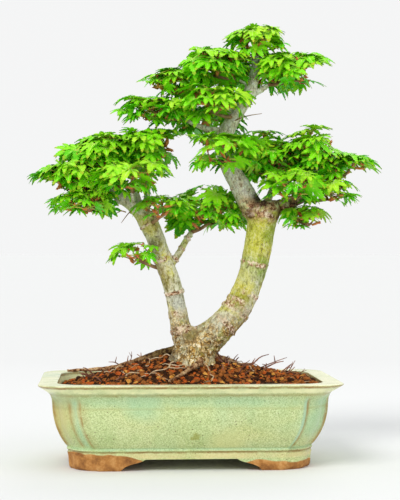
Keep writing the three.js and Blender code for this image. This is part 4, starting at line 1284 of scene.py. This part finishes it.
def grow_leaves(name, sprays, rng):
    """The leaves of each spray, spread in a fan round the way that its twig points."""
    leaves = []
    for spray in sprays:
        offsets = LEAF["fan" if spray["height"] <= LEAF["top_from"] else "top_fan"]
        low = (GROWTH["highest"] - spray["height"]) / (GROWTH["highest"] - GROWTH["lowest"])
        # painted shade: the lower a spray stands in its mass, and the further in, the darker its leaves'
        # green, with a random spread
        tone_and_painted_shade = 2.3 * low + (1 - spray["share"]) * 1.5 + rng.normal() * 0.7
        spray["leaves"] = 0
        for offset in offsets[: LEAF["leaves"] + (rng.uniform() < 0.5)]:
            tries = (leaf_placed(name, spray, offset, low, rng) for _ in range(LEAF["tries"]))
            leaf = next((leaf for leaf in tries if leaf), None)
            if leaf:
                leaves.append({**leaf, "tone_and_painted_shade": tone_and_painted_shade + rng.normal() * 0.4})
                spray["leaves"] += 1
    return leaves


def shoot(spray, rng):
    """The year's shoot at the end of a spray's twig, with the scales of its bud, as tubes."""
    along, place = spray["along"], spray["place"]
    thick = rng.uniform(0.8, 1.25)
    foot = place - along * rng.uniform(4.0, 8.0)
    tubes = []
    if rng.uniform() < SHOOTS["green"]:
        radii = [thick * 0.7, thick, thick * 0.75]
        tubes.append(bent_tube([foot, between(foot, place, 0.5), place + along], radii, 6, 7))
    if rng.uniform() < SHOOTS["swollen"]:
        base = place - along * rng.uniform(4.5, 7)
        radii = [0.9, rng.uniform(1.4, 1.9), 0.9]
        tubes.append(bent_tube([base, between(base, place, 0.6), place], radii, 6, 8))
    base = place - along * 1.2
    for _ in range(3):
        out = unit(along + rng.normal(size=3) * 0.5)
        tip = base + out * rng.uniform(2.8, 4)
        tubes.append(tube([(*base, 0.8), (*(base + out * 1.8), 0.8), (*tip, 0.2)], 5))
    return tubes


def grow_masses():
    """The twigs, leaf stalks and bud sheaths of all the masses, as tubes, and their leaves."""
    grown = {"twig": [], "stalk": [], "sheath": []}
    leaves = []
    for name in MASSES:
        rng = rng_for("mass", name)
        sprays = spray_places(name, rng)
        own = grow_leaves(name, sprays, rng)
        sprays = [spray for spray in sprays if spray["leaves"]]
        grown["twig"] += grow_twigs(name, sprays, rng)
        for spray in sprays:
            grown["sheath"] += shoot(spray, rng)
        for leaf in own:
            middle = between(leaf["root"], leaf["heel"], 0.5) + (0, 0, 0.5)
            grown["stalk"].append(bent_tube([leaf["root"], middle, leaf["heel"]], [0.6, 0.52, 0.45], 4, 5))
        leaves += own
    for start, end in np.array(SNAGS, float):
        middle = between(start, end, 0.5) + (0, 0, 1.5)
        grown["twig"].append(bent_tube([start, middle, end], [0.6, 0.5, 0.25], 7, 6))
    return grown, leaves


def make_leaves(leaves):
    """Makes a piece of leaves in each green, and gives the rims and veins of all the leaves."""
    shapes = [leaf_shape(kind) for kind in range(LEAF_KINDS)]
    rng = rng_for("deal")
    tone_and_painted_shade = np.clip(np.array([leaf["tone_and_painted_shade"] for leaf in leaves]).round(), 0, len(GREENS) - 1)
    kind = rng.integers(0, LEAF_KINDS, len(leaves))
    heels, lengths, turns = (np.array([leaf[key] for leaf in leaves]) for key in ("heel", "length", "turn"))
    edging = {"rim": [], "vein": []}
    nodes = [f"leaves_{mass}" for mass in MASSES]
    for number, (name, dark, light) in enumerate(GREENS):
        blades = []
        for k, shape in enumerate(shapes):
            mine = (tone_and_painted_shade == number) & (kind == k)
            if mine.any():
                for part, into in (("blade", blades), *edging.items()):
                    into.append(scattered(shape[part], heels[mine], lengths[mine], turns[mine]))
        make_piece(name, blades, leaf_material(name, dark, light), "foliage", *nodes)
        nodes = []
    return edging


def make_foliage():
    grown, leaves = grow_masses()
    grown.update(make_leaves(leaves))
    for kind, (piece, material, slot, *look) in CROWN_PIECES.items():
        make_piece(piece, grown[kind], plain_material(material, *look), slot)


# The studio

# The room's brightness by height above eye level, and the lamps: place, strength, angle, colour
ROOM = [(0.0, 0.915), (0.2, 0.915), (0.4, 0.62), (0.7, 0.62), (1.0, 1.15)]
SUNS = [
    ("key", (-480, -860, 1000), 1.6, 26.0, (1.0, 0.985, 0.955)),
    ("fill", (900, -700, 560), 0.5, 60.0, (0.97, 0.985, 1.0)),
    ("back", (250, 900, 800), 0.5, 40.0, (1.0, 1.0, 1.0)),
]
PHOTO = (400, 500)
FLOOR_SIZE = 60000


def in_camera_frame(right, forward, up):
    """A place given from the pot's middle as the camera sees it, in metres of the row's frame."""
    turn = math.radians(CAMERA["turn"])
    x = right * math.cos(turn) + forward * math.sin(turn)
    y = -right * math.sin(turn) + forward * math.cos(turn)
    return Vector((np.array([x, y, up]) + POT_MIDDLE) * MM)


def world_light():
    """A pale room: near white at eye level, dimmer above, and bright again overhead like a soft box."""
    world = bpy.data.worlds.new("studio")
    world.use_nodes = True
    nodes, links = world.node_tree.nodes, world.node_tree.links
    place = nodes.new("ShaderNodeTexCoord")
    split = nodes.new("ShaderNodeSeparateXYZ")
    links.new(place.outputs["Generated"], split.inputs[0])
    ramp = nodes.new("ShaderNodeValToRGB")
    links.new(split.outputs["Z"], ramp.inputs["Fac"])
    elements = ramp.color_ramp.elements
    while len(elements) < len(ROOM):
        elements.new(0.5)
    for element, (position, shade) in zip(elements, ROOM):
        element.position = position
        element.color = (shade * 0.996, shade, shade * 1.002, 1)
    links.new(ramp.outputs["Color"], nodes["Background"].inputs["Color"])
    bpy.context.scene.world = world


def make_camera():
    camera = bpy.data.cameras.new("camera")
    camera.sensor_width = 36.0
    camera.lens = CAMERA["focal_px"] * camera.sensor_width / max(PHOTO)
    camera.clip_end = 100
    seen = linked("camera", camera)
    seen.location = in_camera_frame(CAMERA["aside"], -CAMERA["distance"], CAMERA["height"])
    seen.rotation_euler = (math.pi / 2, 0, -math.radians(CAMERA["turn"]))
    bpy.context.scene.camera = seen


def make_floor():
    """A sheet of paper, with painted light that makes it a shade lighter under the plant, against the light
    that the plant takes from it.
    """
    s = Shader("floor_paper", 0.9, 0.0)
    near = s.times(s.node("VectorMath", "Value", {0: s.place}, operation="LENGTH"), 0.5)
    # painted light: lighter towards the middle, where the plant shades the paper
    material = s.finished(s.ramp(near, (0.1, (229.8, 231.1, 231.8)), (0.6, (221.7, 222.7, 223.0))))
    corners = [(x * FLOOR_SIZE, y * FLOOR_SIZE, 0) for x, y in ((-1, -1), (1, -1), (1, 1), (-1, 1))]
    make_mesh("floor", corners, [(0, 1, 2, 3)], material, smooth=False)


def make_studio():
    make_camera()
    make_floor()
    world_light()
    for name, place, strength, angle, colour in SUNS:
        light = bpy.data.lights.new(name, "SUN")
        light.energy = strength
        light.angle = math.radians(angle)
        light.color = colour
        lamp = linked(name, light)
        lamp.location = in_camera_frame(*place)
        aim = in_camera_frame(0, 0, 170) - lamp.location
        lamp.rotation_euler = aim.to_track_quat("-Z", "Y").to_euler()
    view = bpy.context.scene.view_settings
    view.view_transform = "Standard"
    view.look = "None"


make_studio()
make_pot()
make_soil()
make_litter()
make_wood()
make_roots()
make_foliage()
